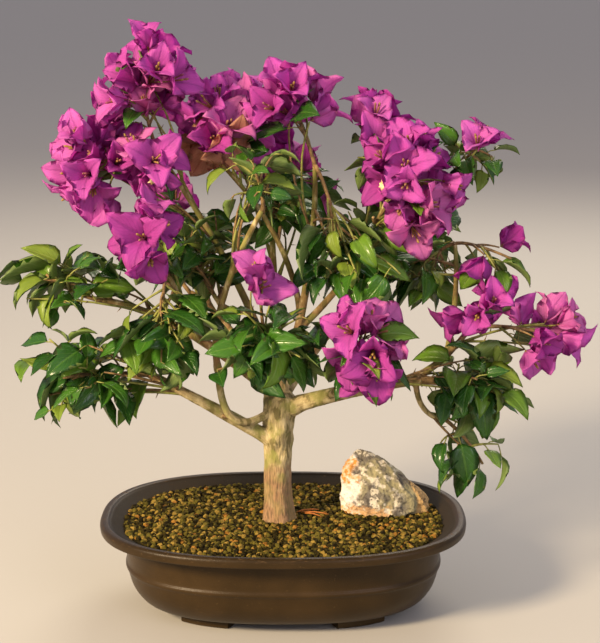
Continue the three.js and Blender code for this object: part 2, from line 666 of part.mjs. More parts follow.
/** The twigs, leaf whorls and blooms of one mass that keep to its space, clear of limbs and each other. */
function growMass(mass, limbs) {
  const random = seededRandom(mass.seed);
  const grown = { twigs: [], leafWhorls: [], blooms: [] };
  const { tries, leafHalfAngle, bractHalfAngle, bractKept } = GROWTH;
  const inside = (points, margin) => points.every((point) => inSpace(mass, point, margin));
  const clear = (points) => clearOfLimbs(mass, points, limbs);
  const roomy = (others, whorl, spacing) => {
    const middle = ({ heart, axis }) => heart.clone().addScaledVector(axis, GROWTH.heartMiddle);
    return others.every((other) => middle(other).distanceTo(middle(whorl)) > spacing);
  };

  function fitTwig(twig) {
    const path = TWIG_TESTS.map((t) => twig.getPoint(t));
    return inside(path, GROWTH.twigMargin) && clear(path);
  }
  function fitBlade(whorl, blade, halfAngle) {
    const points = bladePoints(whorl, blade, halfAngle);
    return inside(points, GROWTH.spaceMargin) && clear(points);
  }
  function bloomAt(shoot, whorl, shrink) {
    const length = shoot.bractLength * (bractKept + (1 - bractKept) * shrink);
    const bloom = { ...whorl, opening: shoot.opening, length };
    const bracts = bloomRim(bloom).filter((_, step) => step % 2 === 0);
    const fits = bracts.every((bract) => fitBlade(whorl, bract, bractHalfAngle));
    return fits && roomy(grown.blooms, bloom, GROWTH.bloomSpacing) ? bloom : null;
  }
  function leavesAt(shoot, whorl) {
    const fitting = shoot.leaves.map((leaf) => {
      const blades = tries.map((shrink) => whorlLeaf(whorl, leaf, shrink));
      return blades.find((blade) => fitBlade(whorl, blade, leafHalfAngle));
    });
    const leaves = fitting.filter(Boolean).sort((a, b) => a.angle - b.angle);
    const enough = leaves.length >= GROWTH.fewestLeaves;
    const fits = enough && roomy(grown.leafWhorls, whorl, GROWTH.whorlSpacing);
    return fits ? { ...whorl, leaves } : null;
  }

  for (let i = 0; i < mass.shoots; i++) {
    const shoot = drawShoot(mass, i, random);
    for (const shrink of tries) {
      const twig = shootTwig(mass, shoot, shrink);
      if (!fitTwig(twig)) continue;
      const whorl = shootWhorl(shoot, twig);
      const made = shoot.blooming ? bloomAt(shoot, whorl, shrink) : leavesAt(shoot, whorl);
      if (!made) continue;
      grown.twigs.push(twig);
      (shoot.blooming ? grown.blooms : grown.leafWhorls).push(made);
      break;
    }
  }
  return grown;
}

/** One mass fused into a solid: its stem, twigs, leaves and blooms. */
function massSolid(mass, limbs, wood) {
  const grown = growMass(mass, limbs);
  const stem = twigSolid(mass.stem, GROWTH.stemRadii, 2);
  const twigs = grown.twigs.map((curve) => twigSolid(curve, GROWTH.twigRadii, 1));
  const leaves = grown.leafWhorls.map((whorl) => whorlSolid(whorl, leafRim(whorl), 4));
  const blooms = grown.blooms.map((whorl) => whorlSolid(whorl, bloomRim(whorl), 1));
  const pieces = [...twigs, ...leaves, ...blooms];
  const fused = pieces.reduce((solid, piece) => solid.add(piece), stem);
  return largestBody(fused.subtract(wood));
}

// The assembly

function material([colour, roughness]) {
  return new THREE.MeshStandardMaterial({ color: colour, roughness, metalness: 0 });
}

function namedMesh(name, solid, colour) {
  const mesh = new THREE.Mesh(geometryOf(solid), material(colour));
  mesh.name = name;
  return mesh;
}

const plant = new THREE.Group();
plant.add(namedMesh("pot", potSolid(), COLOURS.pot));
plant.add(namedMesh("soil", soilSolid(), COLOURS.soil));
plant.add(namedMesh("rock", rockSolid(), COLOURS.rock));
plant.add(namedMesh("trunk", trunkSolid(), COLOURS.bark));

const { solids: boughSolids, wood } = growWood();
boughs.forEach((bough, i) => plant.add(namedMesh(bough.name, boughSolids[i], COLOURS.bark)));

const limbs = [
  limbChain(trunkCurve, (t) => trunkRadius(t, trunkCurve.getLength()), CHAIN.trunk),
  ...boughs.map((bough) => limbChain(bough.curve, (t) => boughRadius(bough, t), CHAIN.bough)),
  ...masses.map((mass) => limbChain(mass.stem, () => GROWTH.stemRadii[0], CHAIN.stem, mass)),
];
for (const mass of masses) {
  const colour = mass.blooms * 2 > mass.shoots ? COLOURS.bloom : COLOURS.foliage;
  plant.add(namedMesh(mass.name, massSolid(mass, limbs, wood), colour));
}

// The part's origin is on the floor, under the middle of the whole plant's box.
const box = new THREE.Box3().setFromObject(plant);
const middle = box.getCenter(new THREE.Vector3());
plant.position.set(-middle.x, -middle.y, 0);

const root = new THREE.Group();
root.add(plant);
export default root;
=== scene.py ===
"""A bougainvillea bonsai in an oval pot: bark, twigs, leaves, papery blooms, soil, a stone and the pot.

Sizes are millimetres in the plant's own frame, whose origin is on the floor under the pot's middle, unless a
comment says otherwise. to_part turns them into metres in the part's frame.
"""
import json
import logging
import math
from dataclasses import dataclass
from enum import Enum
from functools import cached_property
from typing import Iterable, Optional, Sequence, Union

import bmesh
import bpy
import numpy as np
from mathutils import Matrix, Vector, noise

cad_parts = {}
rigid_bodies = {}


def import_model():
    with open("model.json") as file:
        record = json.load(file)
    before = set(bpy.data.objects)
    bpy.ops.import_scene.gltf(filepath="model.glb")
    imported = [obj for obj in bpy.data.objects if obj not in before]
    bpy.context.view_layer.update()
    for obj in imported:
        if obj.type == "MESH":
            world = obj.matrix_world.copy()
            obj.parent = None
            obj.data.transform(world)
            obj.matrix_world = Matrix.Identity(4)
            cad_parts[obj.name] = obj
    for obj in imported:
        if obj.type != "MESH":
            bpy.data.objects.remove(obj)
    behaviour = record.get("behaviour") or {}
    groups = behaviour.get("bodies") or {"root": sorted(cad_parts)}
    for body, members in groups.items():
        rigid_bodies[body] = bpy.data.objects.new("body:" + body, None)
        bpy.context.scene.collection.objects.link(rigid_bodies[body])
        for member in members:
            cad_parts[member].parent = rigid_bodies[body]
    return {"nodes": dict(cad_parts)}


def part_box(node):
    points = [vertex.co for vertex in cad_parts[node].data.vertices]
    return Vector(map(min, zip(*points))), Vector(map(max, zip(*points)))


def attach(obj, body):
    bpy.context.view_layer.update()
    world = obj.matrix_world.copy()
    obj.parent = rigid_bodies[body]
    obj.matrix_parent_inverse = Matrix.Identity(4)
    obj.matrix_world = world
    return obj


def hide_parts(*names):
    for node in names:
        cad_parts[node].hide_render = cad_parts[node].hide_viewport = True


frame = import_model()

log = logging.getLogger("bonsai")

Array = np.ndarray
Pair = tuple[float, float]
Triple = tuple[float, float, float]
Series = tuple[float, ...]
Colour = tuple[float, float, float, float]
Piece = bpy.types.Object
Mesh = bpy.types.Mesh
Material = bpy.types.Material

MM = 0.001
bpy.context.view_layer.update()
POT_LOW, POT_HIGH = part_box("pot")
ORIGIN = np.array([(POT_LOW.x + POT_HIGH.x) / 2, (POT_LOW.y + POT_HIGH.y) / 2, 0.0]) / MM
UP = np.array([0.0, 0.0, 1.0])
SIDEWAYS = np.array([0.31, 0.83, 0.46])  # no limb runs this way
WHORL_START = np.array([0.37, -0.21, 0.9])  # nor does a whorl's axis stand so
TURN = 2 * math.pi  # a full turn in radians
GOLDEN_ANGLE = math.pi * (3 - math.sqrt(5))
BLADE_MAP = "blade"  # the UV map that tells the places across and along a leaf or bract


def to_part(points: Array) -> Array:
    """Points of the plant's frame in metres in the part's frame."""
    return (points + ORIGIN) * MM


def unit(vector: Array) -> Array:
    """A vector, or rows of vectors, at length one."""
    return vector / np.linalg.norm(vector, axis=-1, keepdims=True)


def smooth(low: float, high: float, value: Array) -> Array:
    """A smooth step from 0 at low to 1 at high."""
    share = np.clip((value - low) / (high - low), 0, 1)
    return share * share * (3 - 2 * share)


def turned(vector: Array, axis: Array, angle: float) -> Array:
    """A vector turned round a unit axis by an angle in radians."""
    still = axis * (axis @ vector) * (1 - math.cos(angle))
    return vector * math.cos(angle) + np.cross(axis, vector) * math.sin(angle) + still


def colour(code: int) -> Colour:
    """A screen colour as a linear colour for a shader.

    Args:
        code: The screen colour, such as 0x4a3a28.

    Returns:
        The linear colour.
    """
    shares = [(code >> shift & 255) / 255 for shift in (16, 8, 0)]
    linear = [s / 12.92 if s <= 0.04045 else ((s + 0.055) / 1.055) ** 2.4 for s in shares]
    return (*linear, 1.0)


class Stream:
    """A steady stream of numbers from 0 to 1 for one seed."""

    MODULUS = 2147483647
    FACTOR = 16807
    SEED_STEP, SEED_START = 7919, 17

    def __init__(self, seed: int) -> None:
        """Starts the stream of a seed."""
        self.state = seed * self.SEED_STEP + self.SEED_START

    def draw(self) -> float:
        """The next number."""
        self.state = self.state * self.FACTOR % self.MODULUS
        return self.state / self.MODULUS

    def between(self, limits: Pair) -> float:
        """The next number, spread between two limits."""
        return limits[0] + (limits[1] - limits[0]) * self.draw()

    def above(self, least: float, more: float) -> float:
        """The next number, spread from the least to so much more."""
        return least + more * self.draw()


# Meshes


class MeshPile:
    """Many closed shapes gathered into one mesh."""

    def __init__(self) -> None:
        """Starts with no shape."""
        self.points: list[Array] = []
        self.corners: list[Array] = []
        self.sizes: list[Array] = []
        self.slots: list[Array] = []
        self.uvs: list[Array] = []
        self.count = 0

    def add(self, points: Array, faces: Sequence[Array], slots: Sequence[int],
            uvs: Optional[Array] = None) -> None:
        """Adds one shape.

        Args:
            points: The vertices, one a row.
            faces: Arrays of triangles or of quads, as vertex numbers within this shape.
            slots: The material slot of each array of faces.
            uvs: A place on the surface for each vertex, if its finish needs one.
        """
        self.points.append(points)
        for array, slot in zip(faces, slots):
            self.corners.append((array + self.count).ravel())
            self.sizes.append(np.full(len(array), array.shape[1]))
            self.slots.append(np.full(len(array), slot))
        self.uvs.append(np.zeros((len(points), 2)) if uvs is None else uvs)
        self.count += len(points)

    def loft(self, rings: Array, slot: int = 0) -> None:
        """Adds a closed skin over rings of points, with a cap on the first and the last.

        Args:
            rings: The points by ring, by place round the ring, by coordinate.
            slot: The material slot.
        """
        steps, sides, _ = rings.shape
        around = np.arange(sides)
        beside = (around + 1) % sides
        lower = np.arange(steps - 1)[:, None] * sides
        near, far = lower + around, lower + beside
        skin = np.stack([near, far, far + sides, near + sides], axis=-1).reshape(-1, 4)
        foot, head = steps * sides, steps * sides + 1
        last = (steps - 1) * sides
        low_cap = np.stack([np.full(sides, foot), beside, around], axis=-1)
        high_cap = np.stack([last + around, last + beside, np.full(sides, head)], axis=-1)
        points = np.concatenate([rings.reshape(-1, 3), rings[:1].mean(axis=1), rings[-1:].mean(axis=1)])
        faces = [skin, low_cap, high_cap]
        spokes = points - points.mean(axis=0)
        halves = np.concatenate([skin[:, :3], skin[:, [0, 2, 3]], low_cap, high_cap])
        a, b, c = (spokes[halves[:, corner]] for corner in range(3))
        if np.einsum("ij,ij->i", a, np.cross(b, c)).sum() < 0:
            faces = [array[:, ::-1] for array in faces]
        self.add(points, faces, [slot] * len(faces))

    def tube(self, line: Array, radii: Array, sides: int, slot: int = 0) -> None:
        """Adds a round tube with flat ends.

        Args:
            line: The points of its axis.
            radii: Its radius at each of them.
            sides: How many sides it has.
            slot: The material slot.
        """
        along = unit(np.gradient(line, axis=0))
        side = unit(np.cross(along, SIDEWAYS))
        other = np.cross(along, side)
        angles = np.linspace(0, TURN, sides, endpoint=False)
        spokes = np.cos(angles)[:, None] * side[:, None] + np.sin(angles)[:, None] * other[:, None]
        self.loft(line[:, None] + np.asarray(radii)[:, None, None] * spokes, slot)

    def build(self, name: str, materials: Sequence[Material]) -> Piece:
        """The gathered shapes as one object in the part's frame.

        Args:
            name: The object's name.
            materials: A material for each slot.

        Returns:
            The object, linked to the scene.
        """
        corners = np.concatenate(self.corners)
        sizes = np.concatenate(self.sizes)
        mesh = bpy.data.meshes.new(name)
        mesh.vertices.add(self.count)
        mesh.vertices.foreach_set("co", to_part(np.concatenate(self.points)).ravel())
        mesh.loops.add(len(corners))
        mesh.loops.foreach_set("vertex_index", corners)
        mesh.polygons.add(len(sizes))
        mesh.polygons.foreach_set("loop_start", np.cumsum(sizes) - sizes)
        mesh.polygons.foreach_set("material_index", np.concatenate(self.slots))
        mesh.update(calc_edges=True)
        places = np.concatenate(self.uvs)[corners]
        mesh.uv_layers.new(name=BLADE_MAP).uv.foreach_set("vector", places.ravel())
        for material in materials:
            mesh.materials.append(material)
        mesh.shade_smooth()
        return linked(name, mesh)


def linked(name: str, mesh: Mesh) -> Piece:
    """Puts a mesh into the scene.

    Args:
        name: The object's name.
        mesh: The mesh.

    Returns:
        The object.
    """
    piece = bpy.data.objects.new(name, mesh)
    bpy.context.scene.collection.objects.link(piece)
    return piece


def evaluated_mesh(piece: Piece) -> Mesh:
    """A plain mesh of what an object's modifiers make of it."""
    graph = bpy.context.evaluated_depsgraph_get()
    return bpy.data.meshes.new_from_object(piece.evaluated_get(graph))


def hand_over(piece: Piece, nodes: Iterable[str] = ()) -> None:
    """Fixes a finished piece to the plant's body and reports it.

    Args:
        piece: The finished piece.
        nodes: The solids that it stands for.
    """
    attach(piece, "root")
    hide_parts(*nodes)
    log.info("%s: %d faces", piece.name, len(piece.data.polygons))


# Finishes


class Value:
    """A shader's socket in an expression: arithmetic on it adds Math nodes."""

    def __init__(self, shader: "Shader", socket: bpy.types.NodeSocket) -> None:
        """Wraps a socket of a shader."""
        self.shader = shader
        self.socket = socket

    def math(self, operation: str, *operands: "Number") -> "Value":
        """A Math node on some operands."""
        return self.shader.node("ShaderNodeMath", {"operation": operation}, dict(enumerate(operands)))

    def __add__(self, other: "Number") -> "Value":
        """This plus another."""
        return self.math("ADD", self, other)

    __radd__ = __add__

    def __sub__(self, other: "Number") -> "Value":
        """This less another."""
        return self.math("SUBTRACT", self, other)

    def __rsub__(self, other: "Number") -> "Value":
        """Another less this."""
        return self.math("SUBTRACT", other, self)

    def __mul__(self, other: "Number") -> "Value":
        """This times another."""
        return self.math("MULTIPLY", self, other)

    __rmul__ = __mul__

    def __truediv__(self, other: "Number") -> "Value":
        """This over another."""
        return self.math("DIVIDE", self, other)

    def __rtruediv__(self, other: "Number") -> "Value":
        """Another over this."""
        return self.math("DIVIDE", other, self)

    def __pow__(self, other: "Number") -> "Value":
        """This to the power of another."""
        return self.math("POWER", self, other)

    def __rpow__(self, other: "Number") -> "Value":
        """Another to the power of this."""
        return self.math("POWER", other, self)

    def __abs__(self) -> "Value":
        """This without its sign."""
        return self.math("ABSOLUTE", self)

    def fraction(self) -> "Value":
        """What is left of this over whole numbers."""
        return self.math("FRACT", self)

    def step(self, low: float, high: float) -> "Value":
        """A smooth step from 0 where this is low to 1 where it is high."""
        sockets = {"Value": self, "From Min": low, "From Max": high}
        return self.shader.node("ShaderNodeMapRange", {"interpolation_type": "SMOOTHSTEP"}, sockets)


Number = Union[float, Value]


class Shader:
    """A material's node tree, with one method that adds any node."""

    MIX_FIRST, MIX_SECOND, MIX_RESULT = 6, 7, 2  # a colour Mix node's sockets, by number

    def __init__(self, name: str) -> None:
        """Starts a material.

        Args:
            name: Its name.
        """
        self.material = bpy.data.materials.new(name)
        self.material.use_nodes = True
        self.tree = self.material.node_tree
        self.surface = self.tree.nodes["Principled BSDF"]

    def connect(self, socket: bpy.types.NodeSocket, value: Union[Number, Sequence[float]]) -> None:
        """Links a value to a socket, or sets the socket to a constant.

        Args:
            socket: The socket.
            value: The value or the constant.
        """
        if isinstance(value, Value):
            self.tree.links.new(value.socket, socket)
        else:
            socket.default_value = value

    def node(self, kind: str, settings: Optional[dict] = None, sockets: Optional[dict] = None,
             output: Union[int, str] = 0) -> Value:
        """Adds a node.

        Args:
            kind: The node's type.
            settings: Its own settings, which are set first.
            sockets: The values or links of its inputs, by name or number.
            output: Which output is wanted.

        Returns:
            That output.
        """
        made = self.tree.nodes.new(kind)
        for key, setting in (settings or {}).items():
            setattr(made, key, setting)
        for key, value in (sockets or {}).items():
            self.connect(made.inputs[key], value)
        return Value(self, made.outputs[output])

    def coordinate(self, vector: Value, axis: str) -> Value:
        """One coordinate of a vector: X, Y or Z."""
        return self.node("ShaderNodeSeparateXYZ", {}, {0: vector}, axis)

    def place(self, stretch: Triple = (1, 1, 1)) -> Value:
        """The place on the object in metres, stretched along the axes."""
        here = self.node("ShaderNodeTexCoord", output="Object")
        return self.node("ShaderNodeMapping", {}, {"Vector": here, "Scale": stretch})

    def attribute(self, name: str) -> Value:
        """A vector that the mesh carries."""
        return self.node("ShaderNodeAttribute", {"attribute_name": name}, output="Vector")

    def noise(self, size: float, detail: float = 4, where: Optional[Value] = None) -> Value:
        """Cloudy noise whose lumps have about a given size in metres."""
        sockets = {"Vector": where or self.place(), "Scale": 1 / size, "Detail": detail}
        return self.node("ShaderNodeTexNoise", {}, sockets)

    def mix(self, share: Number, first: Union[Value, Colour], second: Union[Value, Colour]) -> Value:
        """A colour between two colours."""
        sockets = {0: share, self.MIX_FIRST: first, self.MIX_SECOND: second}
        return self.node("ShaderNodeMix", {"data_type": "RGBA"}, sockets, self.MIX_RESULT)

    def bump(self, height: Value, distance: float, strength: float = 1.0) -> Value:
        """A normal for a height of so many metres."""
        return self.node("ShaderNodeBump", {}, {"Height": height, "Distance": distance, "Strength": strength},
                         "Normal")

    def dress(self, **sockets: Union[Number, Colour]) -> Material:
        """Sets the surface's sockets.

        Args:
            sockets: Their values, by name with underscores for spaces.

        Returns:
            The finished material.
        """
        for name, value in sockets.items():
            self.connect(self.surface.inputs[name.replace("_", " ")], value)
        return self.material

    def let_light_through(self, tint: Value, share: float) -> Material:
        """Mixes a share of light from the other side into the surface.

        Args:
            tint: The colour of that light.
            share: How much of the surface's light it makes.

        Returns:
            The finished material.
        """
        through = self.node("ShaderNodeBsdfTranslucent", {}, {"Color": tint})
        own = Value(self, self.surface.outputs[0])
        both = self.node("ShaderNodeMixShader", {}, {0: share, 1: own, 2: through})
        self.connect(self.tree.nodes["Material Output"].inputs["Surface"], both)
        return self.material


@dataclass(frozen=True)
class BladeFinish:
    """A leaf's or bract's surface: a plain tint, with veins along its own outline."""

    name: str
    tint: int
    vein: int
    vein_share: float
    roughness: float
    glow: float  # how much of the light that falls on the other side shows through
    veins: float = 7.0
    vein_slope: float = 0.9
    rib_width: Pair = (0.015, 0.06)  # where the rib fades, in shares of the blade's width
    vein_width: Pair = (0.02, 0.11)  # where a side vein fades, in shares of the way to the next
    side_share: float = 0.55  # how strong a side vein is beside the rib
    cloud_size: float = 0.011  # metres
    cloud_light: float = 0.82  # how much of the tint's light its dark clouds have
    relief: float = 0.0007  # metres

    def material(self) -> Material:
        """Builds the finish.

        Returns:
            The material.
        """
        shader = Shader(self.name)
        uv = shader.node("ShaderNodeUVMap", {"uv_map": BLADE_MAP})
        across, along = (shader.coordinate(uv, axis) for axis in "XY")
        off_rib = abs(across - 0.5)
        rib = 1 - off_rib.step(*self.rib_width)
        ladder = abs(((along - off_rib * self.vein_slope) * self.veins).fraction() - 0.5)
        side_veins = 1 - ladder.step(*self.vein_width)
        clouds = shader.noise(self.cloud_size, 3)
        lines = (rib + self.side_share * side_veins) * self.vein_share
        tint = colour(self.tint)
        tone = shader.mix(clouds.step(0.3, 0.75), darker(tint, self.cloud_light), tint)
        base = shader.mix(lines, tone, colour(self.vein))
        height = clouds * 0.5 - rib * 0.9 - side_veins * 0.5
        shader.dress(Base_Color=base, Roughness=self.roughness + 0.14 * clouds,
                     Normal=shader.bump(height, self.relief, 0.6))
        return shader.let_light_through(base, self.glow)


def darker(tint: Colour, share: float) -> Colour:
    """A colour with a share of its light."""
    return (*(part * share for part in tint[:3]), 1.0)


def slot_of(tone: Enum) -> int:
    """A tone's material slot: its place among its kind."""
    return list(type(tone)).index(tone)


class LeafTone(Enum):
    """The greens that a spray of leaves may have, and the pale underside they share."""

    DEEP = BladeFinish("leaf_deep", 0x2c5a1c, 0x5f8c34, 0.32, 0.2, 0.2)
    MID = BladeFinish("leaf_mid", 0x447822, 0x76a23e, 0.32, 0.2, 0.28)
    FRESH = BladeFinish("leaf_fresh", 0x6e982e, 0x94b652, 0.3, 0.24, 0.34)
    YOUNG = BladeFinish("leaf_young", 0x88a238, 0x9cb058, 0.28, 0.34, 0.36)
    UNDER = BladeFinish("leaf_underside", 0x76904a, 0xa6b478, 0.4, 0.42, 0.32)


class BractTone(Enum):
    """The magentas that a spray of blooms may have, and the faded tan of an old one."""

    DEEP = BladeFinish("bract_deep", 0xd052c0, 0x9c3896, 0.34, 0.6, 0.54, 8, 1.3)
    MID = BladeFinish("bract_mid", 0xe066d2, 0xac46a8, 0.34, 0.6, 0.54, 8, 1.3)
    LIGHT = BladeFinish("bract_light", 0xe97cdc, 0xba5ab4, 0.34, 0.62, 0.54, 8, 1.3)
    PINK = BladeFinish("bract_pink", 0xec8ad6, 0xbe62ac, 0.34, 0.62, 0.54, 8, 1.3)
    FADED = BladeFinish("bract_faded", 0xdca68a, 0xac6a56, 0.4, 0.75, 0.5, 8, 1.3)


@dataclass(frozen=True)
class PlainFinish:
    """A small thing's surface: a tint clouded with a second one."""

    name: str
    tint: int
    cloud: int
    cloud_size: float = 0.004  # metres
    roughness: float = 0.7
    relief: float = 0.0003  # metres
    gloss: float = 0.3

    def material(self) -> Material:
        """Builds the finish.

        Returns:
            The material.
        """
        shader = Shader(self.name)
        clouds = shader.noise(self.cloud_size)
        base = shader.mix(clouds.step(0.4, 0.68), colour(self.tint), colour(self.cloud))
        return shader.dress(Base_Color=base, Roughness=self.roughness, Specular_IOR_Level=self.gloss,
                            Normal=shader.bump(clouds, self.relief))


class TwigTone(Enum):
    """Old brown twigs, young green ones, the pale wood of a cut, and dry stalks."""

    OLD = PlainFinish("twig_bark", 0x8a7048, 0x5a4630)
    YOUNG = PlainFinish("twig_green", 0x8c8f48, 0x6a6a34, roughness=0.55)
    CUT = PlainFinish("cut_wood", 0xd2b988, 0xb4945f, 0.002)
    DRY = PlainFinish("dry_stalk", 0xb46e2e, 0x8a4f22, 0.004)


class FlowerTone(Enum):
    """The slim tubes of the true flowers, and the cream stars of the open ones."""

    TUBE = PlainFinish("flower_tube", 0x94783c, 0x84405a, 0.009, 0.6, 0.0001)
    STAR = PlainFinish("flower_star", 0xf0e6b0, 0xe2cf7a, 0.003, 0.6, 0.0001)


class GrainTone(Enum):
    """The grains of the gritty soil."""

    BLACK = PlainFinish("grain_black", 0x171306, 0x3a3210, 0.003, 0.85, gloss=0.08)
    OLIVE = PlainFinish("grain_olive", 0x5e5520, 0x2a260b, 0.005, 0.85, gloss=0.08)
    TAN = PlainFinish("grain_tan", 0x8e7636, 0x58481c, 0.004, 0.85, gloss=0.08)
    RUST = PlainFinish("grain_rust", 0x946a2c, 0x5e3e14, 0.004, 0.85, gloss=0.08)


@dataclass(frozen=True)
class PotFinish:
    """Semi-matte brown plastic with dust specks, rubbed along the lip's edge, and painted shade on the lip
    and on its inner slope down to the soil.
    """

    brown: int = 0x3a2b15
    shade: int = 0x312410
    # Painted shade on the lip
    lip: int = 0x241b0c
    dust: int = 0x7d6644
    rub: int = 0x7a5c38
    # Painted shade on the lip's inner slope down to the soil
    inner_shade: int = 0x1a1408
    lip_height: float = 0.0745  # metres above the floor
    rub_and_shade_width: float = 0.004  # metres
    slope_foot: float = 0.07  # metres above the floor
    slope_edge: float = 0.001  # metres
    slope_head: Pair = (0.93, 0.955)  # shares of the lip's reach
    # Metres: the size of each noise's lumps, and the depth of their relief
    cloud_size: float = 0.03
    scuff_size: float = 0.006
    speck_size: float = 0.0016
    grain_size: float = 0.0009
    relief: float = 0.00025
    scuff_stretch: Triple = (1, 1, 7)
    gloss: float = 0.18

    def inner_slope(self, shader: Shader, height: Value) -> Value:
        """A mask of the lip's slope down to the soil, where shade is painted.

        Args:
            shader: The pot's shader.
            height: The height above the floor.

        Returns:
            The mask.
        """
        middle, half = (POT_LOW + POT_HIGH) / 2, (POT_HIGH - POT_LOW) / 2
        power = Pot.squareness
        sides = [shader.coordinate(shader.place(), way) for way in "XY"]
        across, along = (abs((side - middle[axis]) / half[axis]) ** power for axis, side in enumerate(sides))
        reach = (across + along) ** (1 / power)
        above = height.step(self.slope_foot - self.slope_edge, self.slope_foot)
        return (1 - reach.step(*self.slope_head)) * above

    def material(self) -> Material:
        """Builds the finish.

        Returns:
            The material.
        """
        shader = Shader("pot_plastic")
        height = shader.coordinate(shader.place(), "Z")
        clouds = shader.noise(self.cloud_size, 6)
        scuffs = shader.noise(self.scuff_size, 5, shader.place(self.scuff_stretch)).step(0.58, 0.72)
        specks = shader.noise(self.speck_size, 2).step(0.68, 0.76)
        # The lip's band: it carries the painted shade of the lip and the real rubbing of its edge
        near_lip = height.step(self.lip_height - self.rub_and_shade_width, self.lip_height + self.rub_and_shade_width)
        base = shader.mix(clouds.step(0.35, 0.7), colour(self.shade), colour(self.brown))
        # Painted shade: the lip is darkened towards a deep brown
        base = shader.mix(near_lip * 0.6, base, colour(self.lip))
        base = shader.mix(near_lip * scuffs * 0.3, base, colour(self.rub))
        # Painted shade: the lip's inner slope down to the soil is darkened
        inner = self.inner_slope(shader, height)
        base = shader.mix(inner * 0.7, base, colour(self.inner_shade))
        base = shader.mix(specks * 0.35, base, colour(self.dust))
        rough = 0.3 + 0.12 * clouds + 0.22 * scuffs * near_lip + 0.2 * specks + 0.35 * inner
        grain = shader.noise(self.grain_size, 2)
        return shader.dress(Base_Color=base, Roughness=rough, Specular_IOR_Level=self.gloss,
                            Normal=shader.bump(grain * 0.6 + clouds, self.relief))


@dataclass(frozen=True)
class BarkFinish:
    """Fissured tan bark, fibrous near the ground and mottled grey-green above."""

    ridge: int = 0xb4a474
    fissure: int = 0x6a553a
    lichen: int = 0x8a8a44
    pale: int = 0xcfc092
    brown: int = 0x9c7a58
    bough: int = 0x93734a
    leader: int = 0x8a7842
    moss: int = 0x5a5222
    # Metres above the floor between which one wood passes into the next
    fibrous_top: Pair = (0.105, 0.13)
    bough_foot: Pair = (0.18, 0.2)
    leader_foot: Pair = (0.23, 0.29)
    wander: float = 0.03  # how far the first of them strays, in metres
    # Metres: the size of each noise's lumps, and the depth of their relief
    fibre_size: float = 0.0012
    plate_size: float = 0.0065
    patch_size: float = 0.016
    flake_size: float = 0.006
    relief: float = 0.0007
    flake_stretch: Triple = (1, 1, 0.5)
    roughness: float = 0.85

    def material(self) -> Material:
        """Builds the finish.

        Returns:
            The material.
        """
        shader = Shader("bark")
        grain = shader.attribute(BarkSkin.GRAIN)
        fibres = shader.noise(self.fibre_size, 6, grain)
        plates = shader.noise(self.plate_size, 4, grain)
        patches = shader.noise(self.patch_size, 5)
        flakes = shader.noise(self.flake_size, 5, shader.place(self.flake_stretch))
        height = shader.coordinate(shader.place(), "Z")
        upper = (height + self.wander * (patches - 0.5)).step(*self.fibrous_top)
        wood = shader.mix(upper, colour(self.brown), colour(self.ridge))
        wood = shader.mix(height.step(*self.bough_foot), wood, colour(self.bough))
        wood = shader.mix(height.step(*self.leader_foot), wood, colour(self.leader))
        cracks = (1 - fibres.step(0.3, 0.6)) * (1 - 0.5 * upper)
        mottles = (1 - flakes.step(0.4, 0.5)) * upper
        base = shader.mix(cracks, wood, colour(self.fissure))
        base = shader.mix(mottles * 0.75, base, colour(self.moss))
        base = shader.mix(patches.step(0.46, 0.62) * (0.25 + 0.5 * upper), base, colour(self.lichen))
        base = shader.mix(flakes.step(0.54, 0.68) * (0.2 + 0.5 * upper), base, colour(self.pale))
        return shader.dress(Base_Color=base, Roughness=self.roughness,
                            Normal=shader.bump(fibres + plates, self.relief))


@dataclass(frozen=True)
class RockFinish:
    """Pitted olive-grey stone with pale patches, white and orange at one side and tan at the other."""

    olive: int = 0x99926f
    grey: int = 0x6c665d
    pale: int = 0xd9d1bd
    white: int = 0xdcd6cd
    orange: int = 0xc88a3a
    peach: int = 0xcda06c
    tan: int = 0xc9a56c
    pit: int = 0x453d33
    # Metres: the size of each noise's lumps, and the depth of their relief
    patch_size: float = 0.016
    spot_size: float = 0.009
    pit_size: float = 0.0026
    relief: float = 0.0012
    spot_stretch: Triple = (1.3, 0.8, 1.9)
    roughness: float = 0.85

    def material(self) -> Material:
        """Builds the finish.

        Returns:
            The material.
        """
        shader = Shader("rock")
        low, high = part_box("rock")
        x, z = (shader.coordinate(shader.place(), way) for way in "XZ")
        patches = shader.noise(self.patch_size, 6)
        spots = shader.noise(self.spot_size, 6, shader.place(self.spot_stretch))
        pits = shader.noise(self.pit_size, 3)
        speckle = pits.step(0.4, 0.55)
        across = (x - low.x) / (high.x - low.x) + 0.45 * (patches - 0.5)
        rise = (z - low.z) / (high.z - low.z) + 0.5 * (spots - 0.5)
        near = 1 - across.step(0.16, 0.24)
        base = shader.mix(patches.step(0.42, 0.6), colour(self.olive), colour(self.grey))
        base = shader.mix(rise.step(0.8, 0.92) * 0.8, base, colour(self.grey))
        base = shader.mix(spots.step(0.5, 0.6) * (1 - across.step(0.6, 0.76)) * 0.85, base, colour(self.pale))
        base = shader.mix(across.step(0.78, 0.86), base, colour(self.tan))
        base = shader.mix(near, base, colour(self.white))
        shoulder = near * rise.step(0.54, 0.6) * (1 - rise.step(0.86, 0.94))
        base = shader.mix(shoulder * (0.55 + 0.45 * speckle), base, colour(self.orange))
        foot = (1 - rise.step(0.1, 0.2)) * (1 - across.step(0.46, 0.6))
        base = shader.mix(foot * (0.5 + 0.5 * speckle), base, colour(self.peach))
        hollows = (pits * (0.35 + patches)).step(0.46, 0.58) * (1 - 0.5 * near)
        base = shader.mix(hollows * 0.7, base, colour(self.pit))
        return shader.dress(Base_Color=base, Roughness=self.roughness,
                            Normal=shader.bump(pits + patches * 2, self.relief))


# Wood


